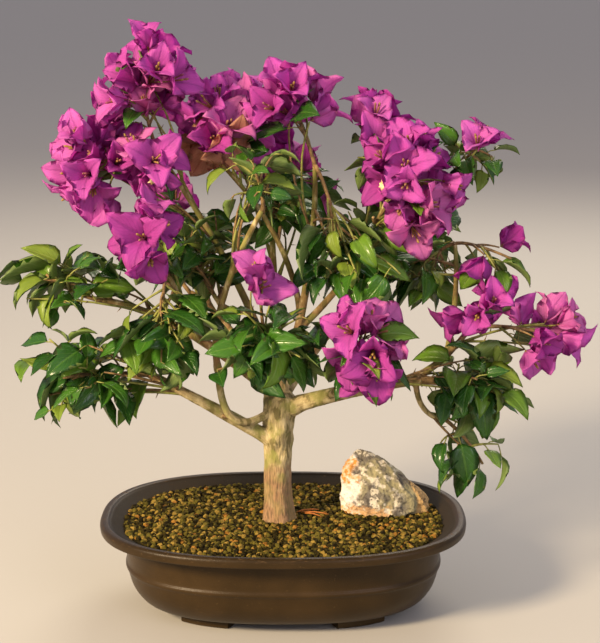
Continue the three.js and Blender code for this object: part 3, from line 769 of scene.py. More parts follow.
@dataclass(frozen=True)
class Bow:
    """A curve between two points whose middle stands off the straight line."""

    start: Array
    control: Array
    end: Array

    @classmethod
    def between(cls, start: Array, end: Array, bow: Array) -> "Bow":
        """The curve from start to end whose middle is moved by bow."""
        return cls(start, (start + end) / 2 + 2 * bow, end)

    def points(self, shares: Array) -> Array:
        """The points at some shares of the way."""
        t = np.asarray(shares, dtype=float)[..., None]
        return (1 - t) ** 2 * self.start + 2 * (1 - t) * t * self.control + t * t * self.end

    def tangents(self, shares: Array) -> Array:
        """The directions at some shares of the way."""
        t = np.asarray(shares, dtype=float)[..., None]
        return unit((1 - t) * (self.control - self.start) + t * (self.end - self.control))


@dataclass(frozen=True)
class Limb:
    """A trunk, bough or stem: its curve, and its radii at the foot and the tip."""

    curve: Bow
    radii: Pair
    collar: float = 1.3  # how much wider a bough is where it leaves its parent
    collar_end: float = 0.1

    def thickness(self, shares: Array) -> Array:
        """The radius at some shares of the way."""
        collar = 1 + (self.collar - 1) * (1 - smooth(0, self.collar_end, shares))
        return (self.radii[0] + (self.radii[1] - self.radii[0]) * shares) * collar


@dataclass(frozen=True)
class Trunk(Limb):
    """The trunk: flared and lobed at the root, swollen at its fork."""

    flare_radius: float = 14.5
    flare_height: float = 14.0
    waist_radius: float = 11.2
    crown_radius: float = 13.4
    root_lobes: int = 5
    lobe_depth: float = 0.1
    swell: Pair = (0.45, 0.95)  # shares of the height between which it widens to its fork
    dome_start: float = 0.93
    dome_drop: float = 0.6

    def thickness(self, shares: Array) -> Array:
        """The radius at some shares of the height."""
        crown = (self.crown_radius - self.waist_radius) * smooth(*self.swell, shares)
        return self.waist_radius + (self.flare_radius - self.waist_radius) * self.root_fade(shares) + crown

    def root_fade(self, shares: Array) -> Array:
        """How much of the root's flare is left at some shares of the height."""
        height = self.curve.end[2] - self.curve.start[2]
        return np.exp(-np.asarray(shares) * height / self.flare_height)

    def rings(self, steps: int, sides: int) -> Array:
        """The trunk's level rings, from its flat cut to its rounded top.

        Args:
            steps: How many rings.
            sides: How many points each has.

        Returns:
            The points by ring, by place round the ring, by coordinate.
        """
        shares = np.linspace(0, 1, steps)
        angles = np.linspace(0, TURN, sides, endpoint=False)
        lobes = 1 + self.lobe_depth * self.root_fade(shares)[:, None] * np.cos(self.root_lobes * angles)
        dome = np.sqrt(np.clip(1 - smooth(self.dome_start, 1, shares) ** 2 * self.dome_drop, 0, 1))
        radii = (self.thickness(shares) * dome)[:, None] * lobes
        level = np.stack([np.cos(angles), np.sin(angles), 0 * angles], axis=-1)
        return self.curve.points(shares)[:, None] + radii[..., None] * level


@dataclass(frozen=True)
class BoughPlan:
    """What a bough grows from and how far along, its tip, how its middle bows out, and its radii."""

    parent: str
    at: float
    tip: Triple
    bow: Triple
    radii: Pair


BOUGHS = {
    "left_low_bough": BoughPlan("trunk", 0.6, (-108, -26, 203), (0, -4, 2), (6.4, 3)),
    "right_bough": BoughPlan("trunk", 0.86, (112, -30, 200), (0, -4, 4), (7.6, 4.2)),
    "left_high_bough": BoughPlan("trunk", 0.93, (-148, 6, 258), (-4, 8, 14), (5, 2.5)),
    "centre_leader": BoughPlan("trunk", 0.98, (26, 4, 368), (8, 8, 0), (4.4, 2)),
    "left_leader": BoughPlan("trunk", 0.97, (-98, -4, 378), (12, 20, -8), (4, 2)),
    "back_leader": BoughPlan("trunk", 0.95, (-12, 66, 346), (0, 18, -6), (4, 2.1)),
    "back_left_bough": BoughPlan("trunk", 0.9, (-80, 70, 252), (0, 10, 8), (4.2, 2.2)),
    "back_right_bough": BoughPlan("trunk", 0.9, (82, 70, 258), (0, 10, 8), (4.2, 2.2)),
    "front_branch": BoughPlan("trunk", 0.92, (-12, -46, 226), (0, -8, 4), (3.6, 2)),
    "hook": BoughPlan("trunk", 0.9, (-52, -24, 206), (-11, -10, -25), (3.6, 3)),
    "front_leader": BoughPlan("hook", 1, (-16, -38, 338), (-14, -2, -8), (3, 2.3)),
    "mid_leader": BoughPlan("centre_leader", 0.34, (-50, 18, 368), (12, 14, 0), (2.8, 1.8)),
    "right_leader": BoughPlan("centre_leader", 0.28, (88, 6, 350), (6, 12, -10), (3.2, 2)),
    "right_top_fork": BoughPlan("right_leader", 0.8, (146, 8, 372), (2, 4, -8), (2.2, 1.6)),
    "left_fork": BoughPlan("left_high_bough", 0.42, (-90, -38, 286), (2, -8, 0), (2.8, 1.9)),
    "inner_fork": BoughPlan("left_leader", 0.38, (-58, -14, 272), (-4, -4, -6), (2.6, 1.8)),
    "front_fork": BoughPlan("right_bough", 0.36, (52, -68, 228), (0, -10, -4), (3, 2)),
    "right_riser": BoughPlan("right_bough", 0.9, (150, -20, 239), (2, 4, -6), (3.6, 2.2)),
    "right_upright": BoughPlan("right_riser", 0.6, (140, 4, 304), (4, 4, 0), (2.6, 1.8)),
    "right_drop": BoughPlan("right_bough", 0.96, (132, -32, 166), (-6, -2, -6), (2.6, 1.9)),
}


class Skeleton:
    """The trunk and boughs, each from its place on its parent's axis."""

    TRUNK_FOOT = np.array([-4.0, 0.0, 71.3])
    TRUNK_TOP = np.array([-2.0, 0.0, 182.0])
    TRUNK_BOW = np.array([-2.0, 1.0, 0.0])

    def __init__(self) -> None:
        """Routes every limb."""
        self.trunk = Trunk(Bow.between(self.TRUNK_FOOT, self.TRUNK_TOP, self.TRUNK_BOW), (0, 0))
        self.limbs: dict[str, Limb] = {"trunk": self.trunk}
        for name, plan in BOUGHS.items():
            foot = self.limbs[plan.parent].curve.points(plan.at)
            curve = Bow.between(foot, np.array(plan.tip, float), np.array(plan.bow, float))
            self.limbs[name] = Limb(curve, plan.radii)


@dataclass(frozen=True)
class BarkSkin:
    """One skin of bark over the trunk and boughs, grown together at the forks."""

    skeleton: Skeleton
    voxel: float = 0.95
    trunk_steps: int = 40
    trunk_sides: int = 40
    sides: int = 14
    rings: int = 26
    samples: int = 60  # places along each limb that the bark's pattern is measured from
    fissures: float = 0.075  # their depth beside the limb's radius
    fissure_width: float = 2.6
    fibre_width: float = 0.4  # beside a fissure's
    lump_width: float = 4.0
    shares: Triple = (1.3, 0.35, 0.8)  # of ridges, fibres and lumps in the relief
    sunk: float = 0.3
    stretch: float = 0.16  # how much slower the bark's pattern changes along a limb than round it
    relief_foot: Pair = (72, 76)  # heights between which the relief sets in
    knot_height: float = 2.8
    knot_size: float = 6.0
    batch: int = 4000  # points that are placed at a time
    knots: tuple[Triple, ...] = (
        (9, -6, 168), (-9, -8, 142), (6, -10, 128), (-8, 8, 160), (10, 6, 140), (0, -12, 152),
    )

    GRAIN = "grain"

    def build(self) -> Piece:
        """Builds the skin, with its relief in the mesh.

        Returns:
            The piece.
        """
        piece = self.joined()
        mesh = piece.data
        points = np.empty(len(mesh.vertices) * 3)
        mesh.vertices.foreach_get("co", points)
        points = points.reshape(-1, 3) / MM - ORIGIN
        normals = np.empty(points.size)
        mesh.vertices.foreach_get("normal", normals)
        local, radii = self.along_limbs(points)
        heights = np.array([self.relief(row, radius) for row, radius in zip(local, radii)])
        above_ground = smooth(*self.relief_foot, points[:, 2])
        for knot in self.knots:
            reach = np.linalg.norm(points - np.array(knot), axis=1) / self.knot_size
            heights += self.knot_height * np.exp(-reach * reach)
        moved = points + (heights * above_ground)[:, None] * normals.reshape(-1, 3)
        moved[:, 2] = np.maximum(moved[:, 2], Skeleton.TRUNK_FOOT[2])
        mesh.vertices.foreach_set("co", to_part(moved).ravel())
        grain = mesh.attributes.new(self.GRAIN, "FLOAT_VECTOR", "POINT")
        grain.data.foreach_set("vector", (local * MM).ravel())
        mesh.shade_smooth()
        mesh.update()
        mesh.materials.append(BarkFinish().material())
        return piece

    def joined(self) -> Piece:
        """Joins the trunk and boughs.

        Returns:
            One closed skin of even faces.
        """
        pile = MeshPile()
        pile.loft(self.skeleton.trunk.rings(self.trunk_steps, self.trunk_sides))
        shares = np.linspace(0, 1, self.rings)
        for name, limb in self.skeleton.limbs.items():
            if name != "trunk":
                pile.tube(limb.curve.points(shares), limb.thickness(shares), self.sides)
        rough = pile.build("rough_wood", [])
        remesh = rough.modifiers.new("skin", "REMESH")
        remesh.mode = "VOXEL"
        remesh.voxel_size = self.voxel * MM
        piece = linked("bark_skin", evaluated_mesh(rough))
        bpy.data.objects.remove(rough)
        return piece

    def along_limbs(self, points: Array) -> tuple[Array, Array]:
        """Where points lie on their limbs.

        Args:
            points: Points of the skin.

        Returns:
            Each point's place round and along its limb, and the limb's radius there.
        """
        shares = np.linspace(0, 1, self.samples)
        limbs = list(self.skeleton.limbs.values())
        axes = np.concatenate([limb.curve.points(shares) for limb in limbs])
        tangents = np.concatenate([limb.curve.tangents(shares) for limb in limbs])
        radii = np.concatenate([limb.thickness(shares) for limb in limbs])
        steps = np.linalg.norm(np.diff(axes, axis=0, prepend=axes[:1]), axis=1)
        lengths = np.cumsum(steps)
        nearest = np.concatenate([self.nearest_limb(part, axes, radii)
                                  for part in np.array_split(points, 1 + len(points) // self.batch)])
        off = points - axes[nearest]
        side = unit(np.cross(tangents, SIDEWAYS))
        other = np.cross(tangents, side)
        ahead = lengths[nearest] + np.einsum("ij,ij->i", off, tangents[nearest])
        round_limb = [np.einsum("ij,ij->i", off, way[nearest]) for way in (side, other)]
        return np.stack([*round_limb, ahead * self.stretch], axis=1), radii[nearest]

    @staticmethod
    def nearest_limb(points: Array, axes: Array, radii: Array) -> Array:
        """The index of the limb's place whose surface is nearest to each point."""
        squares = (points**2).sum(axis=1)[:, None] + (axes**2).sum(axis=1) - 2 * points @ axes.T
        return (np.sqrt(np.maximum(squares, 0)) - radii).argmin(axis=1)

    def relief(self, place: Array, radius: float) -> float:
        """How far the bark stands out.

        Args:
            place: A place round and along a limb.
            radius: The limb's radius there.

        Returns:
            The height.
        """
        ridge = abs(noise.noise(Vector(place / self.fissure_width)))
        fibre = noise.noise(Vector(place / (self.fissure_width * self.fibre_width)))
        lump = noise.noise(Vector(place / (self.fissure_width * self.lump_width)))
        ridges, fibres, lumps = self.shares
        return self.fissures * radius * (ridges * ridge + fibres * fibre + lumps * lump - self.sunk)


# Twigs, leaves and blooms


@dataclass(frozen=True)
class MassPlan:
    """The bough that carries a mass, the middle and reach of its space, its shoots and how many bloom."""

    bough: str
    centre: Triple
    reach: Triple
    shoots: int
    blooms: int
    foot: float = 1.0  # how far along its bough the stem leaves it

    @property
    def flowery(self) -> bool:
        """Whether most of its shoots bloom."""
        return 2 * self.blooms > self.shoots


MASSES = {
    "crest_left": MassPlan("left_leader", (-108, 0, 429), (49, 56, 62), 17, 17),
    "left_shoulder": MassPlan("left_leader", (-144, -10, 370), (52, 50, 68), 12, 12),
    "left_middle": MassPlan("left_leader", (-104, -24, 372), (44, 46, 44), 8, 8),
    "crest_mid_left": MassPlan("mid_leader", (-48, 18, 398), (52, 58, 48), 15, 15),
    "crest_mid": MassPlan("centre_leader", (8, -2, 414), (50, 56, 48), 13, 13),
    "crest_right": MassPlan("right_leader", (68, 10, 388), (46, 58, 46), 14, 13),
    "right_shoulder": MassPlan("right_leader", (106, -22, 356), (52, 56, 62), 15, 15),
    "right_top": MassPlan("right_top_fork", (152, 4, 380), (42, 46, 36), 5, 3),
    "right_mid": MassPlan("right_upright", (172, -10, 298), (42, 46, 40), 4, 3),
    "right_inner": MassPlan("right_upright", (114, 24, 278), (52, 60, 40), 4, 0),
    "right_tip": MassPlan("right_riser", (210, -22, 234), (48, 50, 44), 8, 8),
    "right_reach": MassPlan("right_riser", (158, -17, 259), (46, 48, 40), 6, 6),
    "right_pad": MassPlan("right_bough", (152, -46, 200), (62, 56, 46), 7, 0),
    "right_drop_leaves": MassPlan("right_drop", (154, -34, 140), (40, 42, 46), 2, 0),
    "front_bloom": MassPlan("front_fork", (62, -112, 245), (50, 46, 48), 12, 11),
    "centre_upper": MassPlan("centre_leader", (52, -26, 294), (58, 58, 42), 8, 0),
    "inner_leaves": MassPlan("front_leader", (-20, -48, 362), (42, 42, 42), 4, 0),
    "centre_front": MassPlan("front_branch", (-10, -88, 241), (60, 52, 47), 8, 0),
    "centre_bloom": MassPlan("front_branch", (-17, -50, 286), (38, 42, 36), 3, 3),
    "mid_left_bloom": MassPlan("left_fork", (-107, -66, 323), (36, 42, 46), 7, 7),
    "left_inner": MassPlan("left_fork", (-92, -54, 240), (62, 54, 44), 9, 0),
    "left_tip": MassPlan("left_high_bough", (-178, -2, 274), (62, 58, 38), 7, 0),
    "left_upper": MassPlan("inner_fork", (-70, 2, 292), (56, 54, 42), 8, 0),
    "left_low": MassPlan("left_low_bough", (-157, -42, 205), (62, 58, 50), 8, 0),
    "back_left": MassPlan("back_left_bough", (-100, 106, 300), (62, 54, 60), 7, 2),
    "back_right": MassPlan("back_right_bough", (104, 106, 300), (62, 54, 60), 7, 3),
    "back_mid": MassPlan("back_leader", (6, 116, 338), (60, 52, 58), 7, 4),
    "back_crest": MassPlan("back_leader", (-34, 80, 396), (64, 54, 50), 12, 11),
}
TUFTS = (  # leafy side shoots that fill the middle of the crown, between the masses
    MassPlan("back_leader", (-4, 46, 326), (46, 32, 46), 4, 0, 0.78),
    MassPlan("back_right_bough", (62, 46, 306), (44, 32, 42), 3, 0, 0.72),
    MassPlan("back_left_bough", (-70, 46, 296), (40, 32, 38), 3, 0, 0.72),
)


class Mass:
    """A mass of foliage: its space, and the stem that runs into it from its bough."""

    STEM_SHARE = 0.3  # how far past the middle of its space the stem ends, as a share of the reach
    STEM_SAG = 0.04
    STEM_BEND = 0.12  # how far it first follows its bough
    STEM_SUNK = 2.0  # how far inside its bough it starts
    STEM_FOOT = 0.9  # its radius there beside the bough's
    STEM_TIP = 1.0  # radius
    STEM_RINGS, STEM_SIDES = 9, 8

    def __init__(self, plan: MassPlan, seed: int, bough: Limb) -> None:
        """Works out the space and the stem.

        Args:
            plan: The mass's plan.
            seed: The seed of its numbers.
            bough: The bough that carries it.
        """
        self.plan = plan
        self.seed = seed
        self.bough = bough
        self.middle = np.array(plan.centre, float)
        self.span = np.array(plan.reach, float)
        self.weight = (self.span @ self.span) / 3
        tip = bough.curve.points(plan.foot)
        self.aim = unit(self.middle - tip)
        reach = 1 / np.linalg.norm(self.aim / self.span)
        end = self.middle + self.aim * self.STEM_SHARE * reach
        follow = bough.curve.tangents(plan.foot) - self.aim
        bow = (self.STEM_BEND * follow - UP * self.STEM_SAG) * np.linalg.norm(end - tip)
        curve = Bow.between(tip - self.aim * self.STEM_SUNK, end, bow)
        self.stem = Limb(curve, (bough.radii[1] * self.STEM_FOOT, self.STEM_TIP), collar=1.0)


@dataclass(frozen=True)
class BladeShape:
    """The outline of a leaf or bract as shares of its length, as a thin closed solid."""

    width: float
    rise: float  # how round the base is: less is rounder
    fall: float  # how slim the tip is: more is slimmer
    thickness: float
    wave: float  # how far the edge waves
    waves: float
    lag: float = 1.4  # radians by which the edge's wave trails the rib's
    taper: float = 5.0  # how fast it thickens from its ends
    rows: int = 8
    columns: Series = (-1, -0.5, 0, 0.5, 1)

    @cached_property
    def stations(self) -> Array:
        """Shares of the length from the base to the tip."""
        return np.linspace(0, 1, self.rows)

    @cached_property
    def halves(self) -> Array:
        """Half the width at each station, as a share of the length."""
        outline = self.stations**self.rise * (1 - self.stations) ** self.fall
        return outline / outline.max() * self.width / 2

    @cached_property
    def faces(self) -> list[Array]:
        """The faces.

        Returns:
            The quads and triangles of the upper side, then those of the lower side.
        """
        wide, deep = len(self.columns), self.rows - 2
        upper = 2 + np.arange(deep * wide).reshape(deep, wide)
        lower = upper.copy()
        lower[:, 1:-1] = 2 + deep * wide + np.arange(deep * (wide - 2)).reshape(deep, wide - 2)
        made = []
        for grid, turn in ((upper, 1), (lower, -1)):
            near, far = grid[:-1], grid[1:]
            quads = np.stack([near[:, :-1], near[:, 1:], far[:, 1:], far[:, :-1]], axis=-1).reshape(-1, 4)
            base = np.stack([0 * grid[0, 1:], grid[0, 1:], grid[0, :-1]], axis=-1)
            tip = np.stack([grid[-1, :-1], grid[-1, 1:], 0 * grid[-1, 1:] + 1], axis=-1)
            made += [quads[:, ::turn], np.concatenate([base, tip])[:, ::turn]]
        return made

    @cached_property
    def uvs(self) -> Array:
        """The UV map.

        Returns:
            Each vertex's place across and along the blade.
        """
        across = (np.array(self.columns) + 1) / 2
        grid = np.stack(np.meshgrid(across, self.stations[1:-1]), axis=-1)
        ends = np.array([[0.5, 0.0], [0.5, 1.0]])
        return np.concatenate([ends, grid.reshape(-1, 2), grid[:, 1:-1].reshape(-1, 2)])

    def points(self, blade: "Blade") -> Array:
        """The vertices of one blade.

        Args:
            blade: The blade.

        Returns:
            Its base, its tip, its upper side and the inner part of its lower side.
        """
        s = self.stations
        lean = blade.bend * s + blade.curl * s**3
        middle = (lean[1:] + lean[:-1]) / 2
        ahead = np.concatenate([[0], np.cumsum(np.cos(middle))]) / (self.rows - 1)
        down = np.concatenate([[0], np.cumsum(np.sin(middle))]) / (self.rows - 1)
        columns = np.array(self.columns)
        side = np.cross(blade.along, blade.normal)
        rib = blade.base + blade.length * (ahead[:, None] * blade.along - down[:, None] * blade.normal)
        up = np.sin(lean)[:, None] * blade.along + np.cos(lean)[:, None] * blade.normal
        across = self.halves[:, None] * columns * blade.length
        ruffle = np.sin(TURN * self.waves * s[:, None] + blade.phase + self.lag * columns)
        ruffle = self.wave * blade.length * ruffle * columns**2 * np.sin(math.pi * s)[:, None]
        lift = np.abs(across) * math.sin(blade.fold) + ruffle
        spread = (across * math.cos(blade.fold))[..., None] * side
        grid = rib[:, None] + spread + lift[..., None] * up[:, None]
        ends = np.minimum(1, self.taper * np.minimum(s, 1 - s))[:, None]
        depth = self.thickness / 2 * (1 - columns**2) * ends
        offset = depth[..., None] * up[:, None]
        top = (grid + offset)[1:-1].reshape(-1, 3)
        under = (grid - offset)[1:-1, 1:-1].reshape(-1, 3)
        return np.concatenate([rib[:1], rib[-1:], top, under])


@dataclass(frozen=True)
class Blade:
    """One leaf or bract: where it starts, how it lies, and how it folds and bends."""

    base: Array
    along: Array
    normal: Array
    length: float
    fold: float
    bend: float
    curl: float
    phase: float


LEAF = BladeShape(width=0.62, rise=0.58, fall=1.2, thickness=0.55, wave=0.024, waves=1.8)
BRACT = BladeShape(width=0.82, rise=0.5, fall=1.0, thickness=0.36, wave=0.055, waves=2.3)


@dataclass(frozen=True)
class GrowthRule:
    """Sizes of the growing rule that every mass follows, carried on to finer twigs."""

    finer_leaves: float = 3.4  # how many shoots stand for one coarse leafy shoot
    finer_blooms: float = 1.7
    leaf_shares: Pair = (0.26, 0.9)  # where a shoot's tip lies from the middle to the edge
    bloom_shares: Pair = (0.22, 0.82)
    tries: Series = (1, 0.8, 0.62, 0.45)  # how far a shoot is shortened until it has room
    leaf_tries: int = 3
    twig_foot: Triple = (0.55, 0.9, 0.97)  # where along the stem a twig starts: its middle, lead and furthest
    twig_lowest: float = 0.2
    twig_bow: float = 0.06
    twig_lift: float = 0.9  # how much of its bow goes up
    twig_tests: Series = (0.3, 0.5, 0.7, 0.85, 1)  # where along a twig its room is tested
    twig_radii: Pair = (1.25, 0.65)
    twig_rings: int = 7
    twig_sides: int = 6
    old_twigs: float = 0.35  # the share of twigs that are brown
    runner_every: int = 4  # every so many shoots is a long runner that leaves the bough before its tip
    runner_foot: Pair = (0.5, 0.92)
    runner_bow: float = 0.09
    runner_lift: float = 0.5
    runner_tests: Series = (0.7, 0.85, 1)
    runner_thorns: Series = (0.3, 0.5, 0.7)
    thorn_wind: float = 9.0  # radians that they turn round it from its foot to its tip
    thorn_lean: float = 0.4
    lobe_depth: float = 0.5  # how far the crown's surface dips between its lobes
    lobe_size: float = 0.55
    lobe_edges: Pair = (0.25, -0.35)
    lobe_stride: float = 7.3  # how far apart two masses read the lobes' noise
    outward_pull: float = 0.5  # how far a bloom turns out of its mass
    upward_pull: float = 0.5
    leaves_on_shoot: int = 4
    leafy_part: Pair = (0.3, 0.7)  # where a twig's leaves begin, and over how much of it
    tip_leaves: Pair = (1.15, 0.6)  # a leaf's growth at the foot, and its loss to the tip
    leaf_lengths: Pair = (34, 56)
    leaf_growth: Pair = (0.62, 0.38)  # a leaf's least share of its length, and what growth adds
    leaf_fold: Pair = (0.15, 0.5)  # radians: the least, and how much more it may be
    leaf_bend: Pair = (0.1, 0.8)
    leaf_curl: float = 1.4
    curling_back: float = 0.35  # the share of leaves whose tips curl up
    petiole: Pair = (6, 11)
    petiole_radius: float = 0.55
    petiole_knee: float = 0.8
    petiole_lap: float = 1.5  # how far the stalk runs on under the blade
    leaf_spread: float = 1.15  # radians between a leaf's stalk and its twig
    leaf_droop: float = 0.75  # how far the most drooping leaf turns down; few turn so far
    least_droop: float = 0.05
    leaf_layer: Triple = (1, 1, 0.5)  # leaves stand out more to the sides than up and down
    leaf_light: Pair = (0.7, 0.25)  # how far a leaf faces outward, and away from its twig
    leaf_roll: float = 1.7  # radians from one edge up to the other
    leaf_gap: float = 13.0  # between the middles of two leaves
    open_front: float = 8.0  # how far beside a shown bough no leaf's middle stands before it
    bracts: int = 3  # of a bloom
    bract_lengths: Pair = (28, 38)
    bract_opening: Pair = (0.22, 0.75)  # radians from the bloom's axis
    bract_stray: float = 0.3  # radians
    bract_share: Pair = (0.9, 0.2)  # of the bloom's length: the least, and how much more
    bract_fold: Pair = (0.15, 0.35)
    bract_bend: Pair = (0.1, 0.35)
    bract_curl: Pair = (0.3, 1.1)
    bloom_gap: float = 17.5
    leafy_blooms: float = 0.55  # how many sprays of blooms have a leaf under them
    under_leaf: Triple = (0.4, 2, 0.35)  # that leaf's share of the twig, its turn and its growth
    bloom_lean: float = 1.0  # how far a bloom may turn aside from the way out
    side_blooms: int = 2
    side_places: Pair = (0.95, 0.22)  # the first one's share of the twig, and the step to the next
    side_lean: float = 0.6
    side_pull: float = 0.5
    peduncle: Pair = (9, 17)
    peduncle_rings: int = 4
    tube_lengths: Pair = (13, 18)
    tube_shares: Series = (0, 0.12, 0.35, 0.7, 0.92, 1)
    tube_radii: Series = (0.6, 1.0, 0.85, 0.75, 1.05, 0.5)
    tube_lean: float = 0.35
    tube_bow: float = 1.5
    faded_share: float = 0.5
    faded_below: float = -0.45  # only shoots that hang this far down their mass fade
    faded_places: Pair = (-80, 30)  # from left to right
    star_share: float = 0.03
    limb_margin: float = 1.6
    thorn_length: float = 6.0
    thorn_radii: Triple = (0.7, 0.4, 0.08)
    thorny_growth: float = 0.6  # leaves larger than this have a thorn
    stub_places: Pair = (0.45, 0.85)
    stub_lengths: Pair = (5, 11)
    stub_radius: float = 1.7
    stub_sides: int = 7
    stub_lean: Pair = (0.6, 0.5)  # along the bough, and up
    stub_shares: Series = (0, 0.5, 0.97, 1)
    stub_swell: Series = (1.3, 1.05, 1, 0.8)
    cut_depth: float = 0.3
    cut_swell: Pair = (0.75, 0.6)
    stalk_bow: float = 1.2
    stalk_swell: Series = (1, 1.2, 1.1, 0.9, 0.5)
    fine_sides: int = 4  # of leaf stalks and thorns
    peduncle_sides: int = 5
    slim_sides: int = 6  # of flower tubes and fallen stalks


FRONT = unit(np.array([0, -1, 0.2]))
OPENINGS = ((-121, 338, 7), (-38, 350, 11), (48, 380, 11))  # across, up, radius
SHOWN_BOUGHS = ("left_high_bough", "left_low_bough", "right_riser", "right_drop")
FALLEN_STALKS = (  # from end to end
    ((15, 8, 74.8), (38, 4, 74.2)),
    ((18, 4, 75.2), (32, -3, 74.4)),
    ((11, 9, 74.6), (30, 13, 75.4)),
)


@dataclass(frozen=True)
class Shoot:
    """One shoot of a mass: its twig, its own numbers, and how it faces."""

    mass: Mass
    twig: Bow
    stream: Stream
    outward: Array  # the way out of the mass
    turn: float  # the angle of its first leaf or bloom round the twig
    tone: float  # from 0 to 1


class Crown:
    """Every mass of the crown, with its twigs, leaves, bracts and flowers kept to its space."""

    LIMB_SAMPLES = 40  # places along each limb that foliage keeps clear of

    def __init__(self, skeleton: Skeleton, rule: GrowthRule) -> None:
        """Plans the masses.

        Args:
            skeleton: The trunk and boughs that carry them.
            rule: The rule that they follow.
        """
        self.rule = rule
        self.twigs, self.leaves, self.bracts, self.flowers = (MeshPile() for _ in range(4))
        self.masses = self.planned(MASSES.values(), 1, skeleton)
        self.tufts = self.planned(TUFTS, len(MASSES) + 2, skeleton)  # the seed between is the stubs'
        self.middles = np.array([mass.middle for mass in self.masses])
        self.weights = np.array([mass.weight for mass in self.masses])
        shares = np.linspace(0, 1, self.LIMB_SAMPLES)
        limbs = [*skeleton.limbs.values(), *(mass.stem for mass in self.masses)]
        owners = [-1] * len(skeleton.limbs) + list(range(len(self.masses)))
        self.limb_points = np.concatenate([limb.curve.points(shares) for limb in limbs])
        self.limb_radii = np.concatenate([limb.thickness(shares) for limb in limbs])
        self.limb_owners = np.repeat(owners, len(shares))
        shown = [skeleton.limbs[name] for name in SHOWN_BOUGHS]
        shown += [mass.stem for mass in self.masses if mass.plan.bough in SHOWN_BOUGHS]
        self.shown_points = np.concatenate([limb.curve.points(shares) for limb in shown])
        self.leaf_middles: list[Array] = []
        self.bloom_middles: list[Array] = []

    @staticmethod
    def planned(plans: Iterable[MassPlan], first: int, skeleton: Skeleton) -> list[Mass]:
        """The masses of some plans, with seeds that count up from the first."""
        return [Mass(plan, seed, skeleton.limbs[plan.bough]) for seed, plan in enumerate(plans, start=first)]

    def grow(self) -> None:
        """Grows every mass."""
        for mass in [*self.masses, *self.tufts]:
            self.grow_mass(mass)
        log.info("%d leaves and %d blooms", len(self.leaf_middles), len(self.bloom_middles))

    def stick(self, line: Array, radii: Array, sides: int, tone: TwigTone) -> None:
        """Adds a round stick of a tone to the twigs."""
        self.twigs.tube(line, radii, sides, slot_of(tone))

    def grow_stubs(self, skeleton: Skeleton) -> None:
        """Grows the short stub of a pruned twig on each bough.

        Args:
            skeleton: The trunk and boughs.
        """
        rule = self.rule
        stream = Stream(len(self.masses) + 1)
        ahead, rise = rule.stub_lean
        for limb in list(skeleton.limbs.values())[1:]:
            share = stream.between(rule.stub_places)
            tangent = limb.curve.tangents(share)
            way = unit(square_to(tangent, TURN * stream.draw()) + ahead * tangent + rise * UP)
            foot = limb.curve.points(share)
            length = limb.thickness(share) + stream.between(rule.stub_lengths)
            line = foot + np.array(rule.stub_shares)[:, None] * way * length
            self.stick(line, rule.stub_radius * np.array(rule.stub_swell), rule.stub_sides, TwigTone.OLD)
            face = foot + way * length
            cut = np.array([face, face + way * rule.cut_depth])
            self.stick(cut, rule.stub_radius * np.array(rule.cut_swell), rule.stub_sides, TwigTone.CUT)

    def strew_stalks(self) -> None:
        """Lays the dry stalks that have dropped on the soil."""
        radii = self.rule.petiole_radius * np.array(self.rule.stalk_swell)
        shares = np.linspace(0, 1, len(radii))
        for start, end in FALLEN_STALKS:
            curve = Bow.between(np.array(start, float), np.array(end, float), UP * self.rule.stalk_bow)
            self.stick(curve.points(shares), radii, self.rule.slim_sides, TwigTone.DRY)

    def grow_mass(self, mass: Mass) -> None:
        """Grows the stem and shoots of one mass.

        Args:
            mass: The mass.
        """
        shares = np.linspace(0, 1, mass.STEM_RINGS)
        self.stick(mass.stem.curve.points(shares), mass.stem.thickness(shares), mass.STEM_SIDES, TwigTone.OLD)
        stream = Stream(mass.seed)
        blooms = round(self.rule.finer_blooms * mass.plan.blooms)
        shoots = blooms + round(self.rule.finer_leaves * (mass.plan.shoots - mass.plan.blooms))
        for index in range(shoots):
            self.grow_shoot(mass, stream, index, shoots, index < blooms)

    def grow_shoot(self, mass: Mass, stream: Stream, index: int, count: int, blooming: bool) -> None:
        """Grows one shoot, shorter where it has no room, or skips it.

        Args:
            mass: The mass that it belongs to.
            stream: The mass's numbers.
            index: Its place on the spiral of shoots.
            count: How many shoots the spiral has.
            blooming: Whether it ends in blooms.
        """
        rule = self.rule
        outward = spiral_direction(index, count, mass.seed)
        share = stream.between(rule.bloom_shares if blooming else rule.leaf_shares)
        share *= self.lobe(mass, outward)
        turn = TURN * stream.draw()
        tone = stream.draw()
        seed = int(stream.draw() * Stream.MODULUS)
        runs = index % rule.runner_every == 0
        tests = np.array(rule.runner_tests if runs else rule.twig_tests)
        spray = self.bloom_spray if blooming else self.leaf_spray
        for shrink in rule.tries:
            twig = self.twig(mass, outward, share * shrink, turn)
            if runs:
                twig = self.runner(mass, twig.end, turn)
            path = twig.points(tests)
            if not (self.in_cell(mass, path) and self.clear(mass, path)):
                continue
            if spray(Shoot(mass, twig, Stream(seed), outward, turn, tone)):
                self.grow_twig(twig, TwigTone.YOUNG if tone > rule.old_twigs else TwigTone.OLD)
                if runs:
                    self.arm(twig, turn)
                return

    def grow_twig(self, twig: Bow, tone: TwigTone) -> None:
        """Grows the wood of a twig.

        Args:
            twig: The twig.
            tone: Whether it is old or young.
        """
        shares = np.linspace(0, 1, self.rule.twig_rings)
        foot, tip = self.rule.twig_radii
        self.stick(twig.points(shares), foot + (tip - foot) * shares, self.rule.twig_sides, tone)

